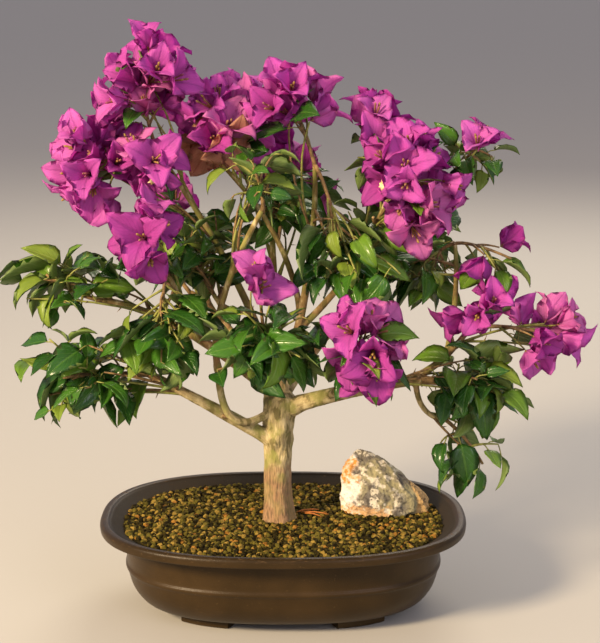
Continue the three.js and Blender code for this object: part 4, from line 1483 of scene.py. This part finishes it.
    def arm(self, runner: Bow, turn: float) -> None:
        """Grows the thorns along a runner.

        Args:
            runner: The runner.
            turn: The angle from which they wind round it.
        """
        rule = self.rule
        for share in rule.runner_thorns:
            tangent = runner.tangents(share)
            way = unit(square_to(tangent, turn + rule.thorn_wind * share) + rule.thorn_lean * tangent)
            self.grow_thorn(runner.points(share), way)

    def twig(self, mass: Mass, outward: Array, share: float, turn: float) -> Bow:
        """A shoot's twig, from the stem abreast of it to its tip.

        Args:
            mass: The mass that it belongs to.
            outward: The way from the mass's middle to the tip.
            share: How far the tip lies from the middle, as a share of the reach.
            turn: The angle of its bow.

        Returns:
            The twig.
        """
        tip = mass.middle + outward * mass.span * share
        ahead = (tip - mass.middle) @ mass.aim / np.linalg.norm(mass.span)
        middle, lead, furthest = self.rule.twig_foot
        foot = mass.stem.curve.points(np.clip(middle + lead * ahead, self.rule.twig_lowest, furthest))
        length = np.linalg.norm(tip - foot)
        wander = np.array([math.cos(turn), math.sin(turn), self.rule.twig_lift]) * self.rule.twig_bow * length
        return Bow.between(foot, tip, wander)

    def runner(self, mass: Mass, tip: Array, turn: float) -> Bow:
        """A long twig to a shoot's tip from a place on the bough before the mass.

        Args:
            mass: The mass that it belongs to.
            tip: The shoot's tip.
            turn: The angle of its bow, which also gives its place on the bough.

        Returns:
            The twig.
        """
        low, high = self.rule.runner_foot
        foot = mass.bough.curve.points(low + (high - low) * turn / TURN)
        wander = np.array([math.cos(turn), math.sin(turn), self.rule.runner_lift]) * self.rule.runner_bow
        return Bow.between(foot, tip, wander * np.linalg.norm(tip - foot))

    def lobe(self, mass: Mass, outward: Array) -> float:
        """How far the crown's lobes reach in a direction, as a share of the mass's reach."""
        place = outward / self.rule.lobe_size + UP * self.rule.lobe_stride * mass.seed
        return 1 - self.rule.lobe_depth * smooth(*self.rule.lobe_edges, noise.noise(Vector(place)))

    def in_reach(self, mass: Mass, points: Array) -> bool:
        """Whether points lie inside a mass's reach."""
        return bool((((points - mass.middle) / mass.span) ** 2).sum(axis=1).max() <= 1)

    def in_cell(self, mass: Mass, points: Array) -> bool:
        """Whether points lie in a mass's own space: inside its reach, and on its side of every neighbour.

        Args:
            mass: The mass. A tuft has its reach alone.
            points: The points.

        Returns:
            Whether all of them do.
        """
        if not self.in_reach(mass, points):
            return False
        if mass in self.tufts:
            return True
        powers = ((points[:, None] - self.middles) ** 2).sum(axis=2) - self.weights
        return bool((powers.argmin(axis=1) == mass.seed - 1).all())

    def clear(self, mass: Mass, points: Array) -> bool:
        """Whether points stay clear of every limb and every other mass's stem.

        Args:
            mass: The mass that they belong to.
            points: The points.

        Returns:
            Whether all of them do.
        """
        others = self.limb_owners != mass.seed - 1
        gaps = np.linalg.norm(points[:, None] - self.limb_points[others], axis=2) - self.limb_radii[others]
        return bool(gaps.min() > self.rule.limb_margin)

    def fits(self, mass: Mass, shape: BladeShape, blade: Blade) -> bool:
        """Whether a blade keeps to its mass's reach, clear of the limbs and out of the openings."""
        points = shape.points(blade)[1::2]
        return self.in_reach(mass, points) and self.clear(mass, points) and self.leaves_sky(points)

    @staticmethod
    def leaves_sky(points: Array) -> bool:
        """Whether points keep out of the places where the crown is open from front to back.

        Args:
            points: The points.

        Returns:
            Whether all of them do.
        """
        across, up, radii = np.array(OPENINGS, float).T
        off = points[:, None] - np.stack([across, 0 * across, up], axis=1)
        aside = np.linalg.norm(off - (off @ FRONT)[..., None] * FRONT, axis=2)
        return bool((aside > radii).all())

    def open_before(self, middle: Array) -> bool:
        """Whether a leaf leaves the boughs that are to be seen open to the front.

        Args:
            middle: The leaf's middle.

        Returns:
            Whether it does.
        """
        off = middle - self.shown_points
        ahead = off @ FRONT
        aside = np.linalg.norm(off - ahead[:, None] * FRONT, axis=1)
        return not bool(((ahead > 0) & (aside < self.rule.open_front)).any())

    @staticmethod
    def roomy(taken: list[Array], middle: Array, gap: float) -> bool:
        """Whether a middle keeps a gap to those that are taken."""
        return not taken or np.linalg.norm(np.array(taken) - middle, axis=1).min() > gap

    def leaf_spray(self, shoot: Shoot) -> bool:
        """Grows the leaves along a shoot, the smallest at its tip.

        Args:
            shoot: The shoot.

        Returns:
            Whether any leaf had room.
        """
        grown = 0
        count = self.rule.leaves_on_shoot
        start, part = self.rule.leafy_part
        full, loss = self.rule.tip_leaves
        for order in range(count):
            share = start + part * (order + 1) / count
            growth = min(shoot.stream.draw() * (full - loss * (order / count) ** 3), 1)
            grown += self.grow_leaf(shoot, share, shoot.turn + order * GOLDEN_ANGLE, growth)
        return grown > 0

    def grow_leaf(self, shoot: Shoot, share: float, angle: float, growth: float) -> int:
        """Grows one leaf on its stalk, shorter where it has no room.

        Args:
            shoot: The shoot that it stands on.
            share: How far along the twig.
            angle: Its angle round the twig.
            growth: How large it is, from 0 to 1.

        Returns:
            How many leaves grew: 1 or 0.
        """
        rule, stream = self.rule, shoot.stream
        foot = shoot.twig.points(share)
        tangent = shoot.twig.tangents(share)
        away = unit(square_to(tangent, angle) * rule.leaf_layer)
        stalk = unit(tangent * math.cos(rule.leaf_spread) + away * math.sin(rule.leaf_spread))
        base = foot + stalk * stream.between(rule.petiole)
        along = unit(stalk - UP * (rule.least_droop + rule.leaf_droop * growth * stream.draw() ** 2))
        light = unit(UP + rule.leaf_light[0] * shoot.outward + rule.leaf_light[1] * away)
        normal = unit(light - along * (along @ light))
        normal = turned(normal, along, rule.leaf_roll * (stream.draw() - 0.5))
        least, more = rule.leaf_growth
        length = stream.between(rule.leaf_lengths) * (least + more * growth)
        shape = dict(fold=stream.above(*rule.leaf_fold), bend=stream.above(*rule.leaf_bend),
                     curl=rule.leaf_curl * (stream.draw() - rule.curling_back),
                     phase=TURN * stream.draw())
        for shrink in rule.tries[:rule.leaf_tries]:
            blade = Blade(base, along, normal, length * shrink, **shape)
            middle = base + along * blade.length / 2
            free = self.roomy(self.leaf_middles, middle, rule.leaf_gap) and self.open_before(middle)
            if free and self.fits(shoot.mass, LEAF, blade):
                self.add_blade(self.leaves, LEAF, blade, leaf_tone(shoot.tone, growth), LeafTone.UNDER)
                knee = (foot + base) / 2 + UP * rule.petiole_knee
                line = np.array([foot, knee, base + along * rule.petiole_lap])
                self.stick(line, np.full(len(line), rule.petiole_radius), rule.fine_sides, TwigTone.YOUNG)
                if growth > rule.thorny_growth:
                    self.grow_thorn(foot, unit(tangent + away))
                self.leaf_middles.append(middle)
                return 1
        return 0

    def grow_thorn(self, foot: Array, along: Array) -> None:
        """Grows a thorn on a twig."""
        line = foot + np.linspace(0, 1, len(self.rule.thorn_radii))[:, None] * along * self.rule.thorn_length
        self.stick(line, np.array(self.rule.thorn_radii), self.rule.fine_sides, TwigTone.OLD)

    @staticmethod
    def add_blade(pile: MeshPile, shape: BladeShape, blade: Blade, upper: Enum, lower: Enum) -> None:
        """Adds a blade to a pile, with a tone for each side."""
        slots = [slot_of(tone) for tone in (upper, upper, lower, lower)]
        pile.add(shape.points(blade), shape.faces, slots, shape.uvs)

    def bloom_spray(self, shoot: Shoot) -> bool:
        """Grows the blooms at a shoot's end, and sometimes a small leaf under them.

        Args:
            shoot: The shoot.

        Returns:
            Whether the bloom at the tip had room.
        """
        rule, stream, twig = self.rule, shoot.stream, shoot.twig
        aside = square_to(shoot.outward, TURN * stream.draw())
        axis = twig.tangents(1.0) + rule.outward_pull * shoot.outward + rule.upward_pull * UP
        axis = unit(axis + rule.bloom_lean * aside)
        low, high = rule.faded_places
        hangs = shoot.outward[2] < rule.faded_below and low < twig.end[0] < high
        shade = bract_tone(shoot.tone, stream.draw() < rule.faded_share and hangs)
        if not self.grow_bloom(shoot, twig.end, axis, shade):
            return False
        first, step = rule.side_places
        for order in range(rule.side_blooms):
            foot = twig.points(first - step * order)
            away = square_to(axis, shoot.turn + order * GOLDEN_ANGLE)
            lean = unit(axis * rule.side_lean + away)
            heart = foot + lean * stream.between(rule.peduncle)
            if self.grow_bloom(shoot, heart, unit(lean + rule.side_pull * shoot.outward), shade):
                line = foot + np.linspace(0, 1, rule.peduncle_rings)[:, None] * (heart - foot)
                self.stick(line, np.full(len(line), rule.petiole_radius), rule.peduncle_sides, TwigTone.YOUNG)
        if stream.draw() < rule.leafy_blooms:
            share, onward, growth = rule.under_leaf
            self.grow_leaf(shoot, share, shoot.turn + onward, growth)
        return True

    def grow_bloom(self, shoot: Shoot, heart: Array, axis: Array, shade: BractTone) -> bool:
        """Grows one bloom: three bracts round three flower tubes.

        Args:
            shoot: The shoot that it stands on.
            heart: Where the bracts meet.
            axis: The way that it faces.
            shade: The tone of its bracts.

        Returns:
            Whether it had room.
        """
        rule, stream = self.rule, shoot.stream
        length = stream.between(rule.bract_lengths)
        opening = stream.between(rule.bract_opening)
        turn = TURN * stream.draw()
        middle = heart + axis * length / 2
        blades = []
        for order in range(rule.bracts):
            stray = rule.bract_stray * (stream.draw() - 0.5)
            away = square_to(axis, turn + order * TURN / rule.bracts + stray)
            along = unit(axis * math.cos(opening) + away * math.sin(opening))
            inner = unit(axis * math.sin(opening) - away * math.cos(opening))
            blades.append(Blade(heart + axis, along, inner, length * stream.above(*rule.bract_share),
                                stream.above(*rule.bract_fold), stream.above(*rule.bract_bend),
                                stream.above(*rule.bract_curl), TURN * stream.draw()))
        open_star = stream.draw() < rule.star_share
        if not self.roomy(self.bloom_middles, middle, rule.bloom_gap):
            return False
        if not all(self.fits(shoot.mass, BRACT, blade) for blade in blades):
            return False
        for blade in blades:
            self.add_blade(self.bracts, BRACT, blade, shade, shade)
            self.grow_flower(heart, axis, blade, stream.between(rule.tube_lengths), open_star)
        self.bloom_middles.append(middle)
        return True

    def grow_flower(self, heart: Array, axis: Array, bract: Blade, length: float, open_star: bool) -> None:
        """Grows the slim flower tube before a bract.

        Args:
            heart: Where the bracts meet.
            axis: The way that the bloom faces.
            bract: The bract.
            length: The tube's length.
            open_star: Whether it ends in an open star of five lobes.
        """
        rule = self.rule
        lean = unit(axis + rule.tube_lean * (bract.along - axis * (axis @ bract.along)))
        shares = np.array(rule.tube_shares)
        line = heart + axis + shares[:, None] * lean * length + (shares**2)[:, None] * axis * rule.tube_bow
        self.flowers.tube(line, np.array(rule.tube_radii), rule.slim_sides, slot_of(FlowerTone.TUBE))
        if open_star:
            self.flowers.loft(star_rings(line[-1], unit(line[-1] - line[-2])), slot_of(FlowerTone.STAR))

    def pieces(self) -> list[tuple[Piece, str, list[str]]]:
        """Builds the crown's pieces.

        Returns:
            Each piece with its slot and the solids that it stands for.
        """
        kinds = (TwigTone, LeafTone, BractTone, FlowerTone)
        twig, leaf, bract, flower = ([tone.value.material() for tone in kind] for kind in kinds)
        leafy = [name for name, plan in MASSES.items() if not plan.flowery]
        flowery = [name for name, plan in MASSES.items() if plan.flowery]
        return [
            (self.twigs.build("twigs", twig), "bark", []),
            (self.leaves.build("leaves", leaf), "foliage", leafy),
            (self.bracts.build("bracts", bract), "bloom", flowery),
            (self.flowers.build("flowers", flower), "bloom", []),
        ]


def spiral_direction(index: int, count: int, turn: float) -> Array:
    """A direction on a golden-angle spiral from the top of a ball to its foot.

    Args:
        index: The direction's place on the spiral.
        count: How many directions the spiral has.
        turn: The angle that it starts from.

    Returns:
        The direction.
    """
    height = 1 - 2 * (index + 0.5) / count
    angle = index * GOLDEN_ANGLE + turn
    flat = math.sqrt(1 - height * height)
    return np.array([flat * math.cos(angle), flat * math.sin(angle), height])


def square_to(axis: Array, angle: float) -> Array:
    """A direction square to an axis, turned round it by an angle."""
    return turned(unit(np.cross(WHORL_START, axis)), axis, angle)


YOUNG_GROWTH = 0.14  # leaves smaller than this are young
DEEP_SPRAYS, MID_SPRAYS = 0.45, 0.86  # the tones of sprays up to which they are deep or middling green


def leaf_tone(tone: float, growth: float) -> LeafTone:
    """The green of a leaf: a small one is younger and paler than its spray.

    Args:
        tone: The spray's tone, from 0 to 1.
        growth: How large the leaf is, from 0 to 1.

    Returns:
        The green.
    """
    if growth < YOUNG_GROWTH:
        return LeafTone.YOUNG
    if tone < DEEP_SPRAYS:
        return LeafTone.DEEP
    return LeafTone.MID if tone < MID_SPRAYS else LeafTone.FRESH


def bract_tone(tone: float, faded: bool) -> BractTone:
    """The magenta of a spray's bracts.

    Args:
        tone: The spray's tone, from 0 to 1.
        faded: Whether the spray is an old one.

    Returns:
        The magenta, or the tan of an old spray.
    """
    if faded:
        return BractTone.FADED
    fresh = [kind for kind in BractTone if kind is not BractTone.FADED]
    return fresh[min(int(tone * len(fresh)), len(fresh) - 1)]


STAR_RADIUS, STAR_LOBES, STAR_THICKNESS = 3.4, 5, 0.5
STAR_STEPS = 4  # points round each lobe
STAR_REACH, STAR_SWING = 0.72, 0.28  # the edge's mean reach, and how far it swings, beside the radius


def star_rings(centre: Array, axis: Array) -> Array:
    """The two rings of a thin star of lobes round an axis.

    Args:
        centre: The star's middle.
        axis: The way that it faces.

    Returns:
        The points by ring, by place round the ring, by coordinate.
    """
    angles = np.linspace(0, TURN, STAR_LOBES * STAR_STEPS, endpoint=False)
    reach = STAR_RADIUS * (STAR_REACH + STAR_SWING * np.cos(STAR_LOBES * angles))
    side = square_to(axis, 0)
    flat = np.cos(angles)[:, None] * side + np.sin(angles)[:, None] * np.cross(axis, side)
    ring = centre + reach[:, None] * flat
    return np.stack([ring, ring + axis * STAR_THICKNESS])


# The pot, its soil and its stone


@dataclass(frozen=True)
class Pot:
    """The oval pot: a wall with a bead, a dished lip, and four foot pads."""

    length: float = 305.0
    depth: float = 232.0
    squareness: float = 2.5
    facets: int = 176
    sharp: float = 40.0  # degrees between faces that meet in an edge
    foot_height: float = 6.0
    foot_inset: float = 47.0
    foot_width: float = 17.0
    foot_sunk: float = 1.0
    foot_round: float = 1.2
    foot_angles: Pair = (42, 70)  # degrees round the oval, in each quarter
    foot_steps: int = 14
    # Each corner of the wall's section: in from the lip's edge, up from the floor, and how far it is rounded.
    corners: tuple[Triple, ...] = (
        (46, 6, 0), (34, 11, 8), (25.5, 23, 9), (22, 37.2, 3), (20.6, 39, 0.9), (20.6, 41, 0.9),
        (22, 42.8, 3), (19.5, 67.2, 2.2), (3, 69.4, 0.9), (0.6, 70.2, 1), (0, 75.6, 2), (2.2, 78, 1.6),
        (6.6, 77.8, 1.2), (8.2, 76.3, 0.8), (14.6, 73.2, 2.5), (18.5, 71, 1), (24, 67.8, 2), (26.5, 40, 4),
        (33.5, 18.5, 6), (50.5, 10.5, 0),
    )

    def oval(self, inset: float, angles: Array) -> Array:
        """The oval that lies a distance in from the lip's edge, at height zero.

        Args:
            inset: The distance.
            angles: The angles of the points that are wanted.

        Returns:
            The points, one a row.
        """
        power = 2 / self.squareness
        ways = [np.cos(angles), np.sin(angles)]
        shares = [np.sign(way) * np.abs(way) ** power for way in ways]
        x = (self.length / 2 - inset) * shares[0]
        y = (self.depth / 2 - inset) * shares[1]
        return np.stack([x, y, 0 * x], axis=-1)

    def build(self) -> Piece:
        """Builds the pot.

        Returns:
            The piece.
        """
        pile = MeshPile()
        angles = np.linspace(0, TURN, self.facets, endpoint=False)
        rings = [self.oval(inset, angles) + UP * height for inset, height in rounded(self.corners)]
        pile.loft(np.array(rings))
        for quarter in range(4):
            pile.loft(self.foot_rings(quarter))
        piece = pile.build("pot_shell", [PotFinish().material()])
        piece.data.set_sharp_from_angle(angle=math.radians(self.sharp))
        return piece

    def foot_rings(self, quarter: int) -> Array:
        """The sections of one curved foot pad, from end to end.

        Args:
            quarter: Which quarter of the pot it stands under.

        Returns:
            The points by section, by place round the section, by coordinate.
        """
        low, high = (math.radians(180 - angle if quarter % 2 else angle) for angle in self.foot_angles)
        turn = math.pi * (quarter > 1)
        top = self.foot_height + self.foot_sunk
        outer, inner = self.foot_inset, self.foot_inset + self.foot_width
        section = [(outer, top), (outer, self.foot_round), (outer + self.foot_round, 0),
                   (inner - self.foot_round, 0), (inner, self.foot_round), (inner, top)]
        angles = turn + np.linspace(low, high, self.foot_steps)
        return np.stack([self.oval(inset, angles) + UP * height for inset, height in section], axis=1)


def rounded(corners: Sequence[Triple], steps: int = 4, most: float = 0.45) -> list[Pair]:
    """A profile whose corners are rounded.

    Args:
        corners: Each corner's two coordinates, and how far along its sides the rounding reaches.
        steps: How many pieces each rounding has.
        most: How far it may reach, as a share of the side.

    Returns:
        The profile's points.
    """
    made = [corners[0][:2]]
    for before, corner, after in zip(corners, corners[1:], corners[2:]):
        here = np.array(corner[:2])
        sides = [np.array(other[:2]) - here for other in (before, after)]
        reaches = [min(corner[2], most * np.linalg.norm(side)) for side in sides]
        start, end = (here + unit(side) * reach for side, reach in zip(sides, reaches))
        made += [tuple(point) for point in Bow(start, here, end).points(np.linspace(0, 1, steps + 1))]
    made.append(corners[-1][:2])
    return made


class GrainScatter:
    """Geometry nodes that strew rough grains over a surface."""

    DENTS = 1.7  # how fine the dents are, on a ball of radius 1
    INPUTS = {
        "Spacing": "NodeSocketFloat", "Density": "NodeSocketFloat", "Smallest": "NodeSocketFloat",
        "Largest": "NodeSocketFloat", "Seed": "NodeSocketInt", "Finish": "NodeSocketMaterial",
    }

    def __init__(self) -> None:
        """Builds the tree."""
        self.tree = bpy.data.node_groups.new("grain_scatter", "GeometryNodeTree")
        self.tree.interface.new_socket(name="Geometry", in_out="OUTPUT", socket_type="NodeSocketGeometry")
        self.tree.interface.new_socket(name="Geometry", in_out="INPUT", socket_type="NodeSocketGeometry")
        self.sockets = {name: self.tree.interface.new_socket(name=name, in_out="INPUT", socket_type=kind)
                        for name, kind in self.INPUTS.items()}
        given = self.tree.nodes.new("NodeGroupInput").outputs
        points = self.node("GeometryNodeDistributePointsOnFaces", {"distribute_method": "POISSON"}, {
            "Mesh": given["Geometry"], "Distance Min": given["Spacing"], "Density Max": given["Density"],
            "Seed": given["Seed"]})
        ball = self.node("GeometryNodeMeshIcoSphere", {}, {"Radius": 1.0, "Subdivisions": 1})
        dents = self.node("ShaderNodeTexNoise", {}, {"Scale": self.DENTS})
        lean = self.node("ShaderNodeVectorMath", {"operation": "SUBTRACT"}, {
            0: dents["Color"], 1: (0.5, 0.5, 0.5)})
        grain = self.node("GeometryNodeSetPosition", {}, {
            "Geometry": ball["Mesh"], "Offset": lean["Vector"]})
        spin = self.node("FunctionNodeRandomValue", {"data_type": "FLOAT_VECTOR"}, {
            0: (0, 0, 0), 1: (TURN,) * 3, "Seed": given["Seed"]})
        size = self.node("FunctionNodeRandomValue", {"data_type": "FLOAT"}, {
            2: given["Smallest"], 3: given["Largest"], "Seed": given["Seed"]})
        strewn = self.node("GeometryNodeInstanceOnPoints", {}, {
            "Points": points["Points"], "Instance": grain["Geometry"], "Rotation": spin[0], "Scale": size[1]})
        real = self.node("GeometryNodeRealizeInstances", {}, {"Geometry": strewn["Instances"]})
        dressed = self.node("GeometryNodeSetMaterial", {}, {
            "Geometry": real["Geometry"], "Material": given["Finish"]})
        result = self.tree.nodes.new("NodeGroupOutput").inputs[0]
        self.tree.links.new(dressed["Geometry"], result)

    def node(self, kind: str, settings: dict, sockets: dict) -> bpy.types.NodeOutputs:
        """Adds a node.

        Args:
            kind: The node's type.
            settings: Its own settings, which are set first.
            sockets: The values or links of its inputs, by name or number.

        Returns:
            Its outputs.
        """
        made = self.tree.nodes.new(kind)
        for key, setting in settings.items():
            setattr(made, key, setting)
        for key, value in sockets.items():
            if isinstance(value, bpy.types.NodeSocket):
                self.tree.links.new(value, made.inputs[key])
            else:
                made.inputs[key].default_value = value
        return made.outputs

    def strew(self, name: str, surface: Mesh, **inputs: object) -> Piece:
        """Strews grains over a surface.

        Args:
            name: The piece's name.
            surface: The surface.
            inputs: The tree's inputs by name.

        Returns:
            The grains as a plain mesh.
        """
        bed = linked("bed", surface)
        modifier = bed.modifiers.new("grains", "NODES")
        modifier.node_group = self.tree
        for key, value in inputs.items():
            modifier[self.sockets[key].identifier] = value
        piece = linked(name, evaluated_mesh(bed))
        bpy.data.objects.remove(bed)
        return piece


@dataclass(frozen=True)
class Soil:
    """The gritty soil: a dark bed with layers of grains in several colours."""

    pot: Pot
    level: float = 71.0
    inset: float = 20.5
    rings: int = 8
    sides: int = 48
    hub: float = 0.04  # the innermost ring's share of the rim
    spacing: float = 3.2
    grain: Pair = (1.5, 3.0)  # radii
    densities: Series = (44000, 54000, 16000, 4000)  # grains a square metre, for each tone
    first_seed: int = 3
    bed: PlainFinish = PlainFinish("soil_bed", 0x1c180a, 0x2c2610, 0.003, 0.95, gloss=0.05)

    def surface(self) -> Mesh:
        """The soil's level top.

        Returns:
            A mesh to strew grains on.
        """
        sides = self.sides
        rim = self.pot.oval(self.inset, np.linspace(0, TURN, sides, endpoint=False))
        rows = [rim * share for share in np.linspace(self.hub, 1, self.rings)]
        points = to_part(np.concatenate(rows) + UP * self.level)
        faces = [(low + a, low + sides + a, low + sides + b, low + b)
                 for low in range(0, (self.rings - 1) * sides, sides)
                 for a, b in zip(range(sides), [*range(1, sides), 0])]
        mesh = bpy.data.meshes.new("soil_top")
        mesh.from_pydata(points.tolist(), [], faces)
        return mesh

    def build(self) -> list[Piece]:
        """Strews the grains.

        Returns:
            A piece for each tone.
        """
        scatter = GrainScatter()
        low, high = self.grain
        pieces = []
        for seed, (tone, density) in enumerate(zip(GrainTone, self.densities), start=self.first_seed):
            piece = scatter.strew(f"soil_{tone.value.name}", self.surface(), Spacing=self.spacing * MM,
                                  Density=float(density), Smallest=low * MM, Largest=high * MM, Seed=seed,
                                  Finish=tone.value.material())
            piece.data.shade_flat()
            pieces.append(piece)
        return pieces

    def dress_bed(self, solid: Piece) -> None:
        """Gives the solid that shows between the grains its dark finish."""
        solid.data.materials.clear()
        solid.data.materials.append(self.bed.material())


@dataclass(frozen=True)
class Rock:
    """A rough stone with a flat base and an off-centre peak, lying on the soil."""

    centre: Pair = (89, 30)
    size: Triple = (78, 54, 49)
    base: float = 71.3
    subdivisions: int = 6
    squareness: float = 2.3  # exponent of its rounding: 2 is an egg, more is blockier
    peak_shift: float = -14
    base_cut: float = 0.5
    narrowing: float = 0.31
    roughness: float = 0.06
    waves: Triple = (4.1, 4.3, 6.1)
    phases: Pair = (2.4, 0.4)
    ridges: float = 0.6
    slant: float = 2.2
    crags: float = 0.17
    crag_waves: Pair = (2.3, 5.1)
    small_crags: float = 0.5  # beside the large ones
    crag_level: float = 0.35  # what is left of the crags stands out
    pits: float = 0.022
    pit_waves: Pair = (13, 27)

    def build(self) -> Piece:
        """Builds the stone.

        Returns:
            The piece.
        """
        shape = bmesh.new()
        bmesh.ops.create_icosphere(shape, subdivisions=self.subdivisions, radius=1.0)
        mesh = bpy.data.meshes.new("rock_stone")
        shape.to_mesh(mesh)
        shape.free()
        points = np.empty(len(mesh.vertices) * 3)
        mesh.vertices.foreach_get("co", points)
        placed = np.array([self.placed(point) for point in points.reshape(-1, 3)])
        mesh.vertices.foreach_set("co", to_part(placed).ravel())
        mesh.shade_smooth()
        mesh.update()
        mesh.materials.append(RockFinish().material())
        return linked("rock_stone", mesh)

    def placed(self, point: Array) -> Array:
        """Moves a point of the unit ball to the stone's surface.

        Args:
            point: The point.

        Returns:
            Its place on the stone.
        """
        block = point / (np.abs(point) ** self.squareness).sum() ** (1 / self.squareness)
        x, y, z = block
        lumps = math.sin(self.waves[0] * x + self.phases[0]) * math.sin(self.waves[1] * y + self.phases[1])
        ridge = self.ridges * math.sin(self.waves[2] * z + self.slant * x)
        large, small = (abs(noise.noise(Vector(point * wave))) for wave in self.crag_waves)
        crag = large + self.small_crags * small
        pit = sum(noise.noise(Vector(point * wave)) for wave in self.pit_waves)
        rough = self.roughness * (lumps + ridge)
        x, y, z = block * (1 + rough + self.crags * (self.crag_level - crag) + self.pits * pit)
        rise = max(z, -self.base_cut) + self.base_cut
        slim = 1 - self.narrowing * rise
        length, depth, height = self.size
        return np.array([
            self.centre[0] + length / 2 * x * slim + self.peak_shift * rise,
            self.centre[1] + depth / 2 * y * slim,
            self.base + height / (1 + self.base_cut) * rise,
        ])


# The studio


@dataclass(frozen=True)
class Studio:
    """A plain pale floor, soft light from the upper left, and the camera of the photograph's view."""

    eye: Triple = (13.93, -1326.09, 526.86)
    pitch: float = -12.1625  # degrees from level
    focal_pixels: float = 1657.967
    picture_height: int = 643  # pixels
    sensor: float = 36.0
    sight: float = 200.0  # metres
    floor_size: float = 60.0  # metres
    floor_tint: int = 0xafada7
    floor_roughness: float = 0.9
    sky_tint: int = 0xc6c0c8
    sky_strength: float = 0.85
    lamp_aim: Triple = (0, 0, 0.25)  # metres

    def camera(self) -> None:
        """Sets the camera."""
        data = bpy.data.cameras.new("camera")
        data.sensor_width = self.sensor
        data.lens = self.focal_pixels * self.sensor / self.picture_height
        data.clip_end = self.sight
        eye = bpy.data.objects.new("camera", data)
        eye.location = to_part(np.array(self.eye))
        eye.rotation_euler = (math.radians(90 + self.pitch), 0, 0)
        bpy.context.scene.collection.objects.link(eye)
        bpy.context.scene.camera = eye

    def floor(self) -> None:
        """Lays the floor and sets the light of the surroundings."""
        half = self.floor_size / 2
        corners = [(-half, -half, 0), (half, -half, 0), (half, half, 0), (-half, half, 0)]
        mesh = bpy.data.meshes.new("floor")
        mesh.from_pydata(corners, [], [(0, 1, 2, 3)])
        finish = dict(Base_Color=colour(self.floor_tint), Roughness=self.floor_roughness)
        mesh.materials.append(Shader("floor").dress(**finish))
        linked("floor", mesh)
        world = bpy.data.worlds.new("surroundings")
        world.use_nodes = True
        sky = world.node_tree.nodes["Background"].inputs
        sky["Color"].default_value = colour(self.sky_tint)
        sky["Strength"].default_value = self.sky_strength
        bpy.context.scene.world = world
        bpy.context.scene.view_settings.view_transform = "Standard"

    def lamp(self, name: str, place: Triple, power: float, size: float, tint: int) -> None:
        """Hangs a square soft lamp that faces the plant.

        Args:
            name: Its name.
            place: Where it hangs.
            power: Its watts.
            size: Its side in metres.
            tint: Its colour.
        """
        data = bpy.data.lights.new(name, "AREA")
        data.energy = power
        data.size = size
        data.color = colour(tint)[:3]
        lamp = bpy.data.objects.new(name, data)
        lamp.location = to_part(np.array(place, float))
        aim = Vector(self.lamp_aim) - lamp.location
        lamp.rotation_euler = aim.to_track_quat("-Z", "Y").to_euler()
        bpy.context.scene.collection.objects.link(lamp)

    def build(self) -> None:
        """Sets up the floor, the lamps and the camera."""
        self.floor()
        self.lamp("key", (-1900, -1750, 1500), power=178, size=0.6, tint=0xffe3ba)
        self.lamp("fill", (1500, -1900, 1100), power=22, size=1.6, tint=0xf0eaf4)
        self.lamp("back", (500, 1700, 1700), power=30, size=1.2, tint=0xfff2dd)
        self.camera()


def main() -> None:
    """Builds the plant piece by piece."""
    logging.basicConfig(level=logging.INFO, format="%(name)s %(message)s")
    Studio().build()
    pot = Pot()
    hand_over(pot.build(), ["pot"])
    soil = Soil(pot)
    for grains in soil.build():
        hand_over(grains)
    soil.dress_bed(frame["nodes"]["soil"])
    hand_over(Rock().build(), ["rock"])
    skeleton = Skeleton()
    hand_over(BarkSkin(skeleton).build(), skeleton.limbs)
    crown = Crown(skeleton, GrowthRule())
    crown.grow_stubs(skeleton)
    crown.strew_stalks()
    crown.grow()
    for piece, slot, nodes in crown.pieces():
        hand_over(piece, nodes)


if __name__ == "__main__":
    main()
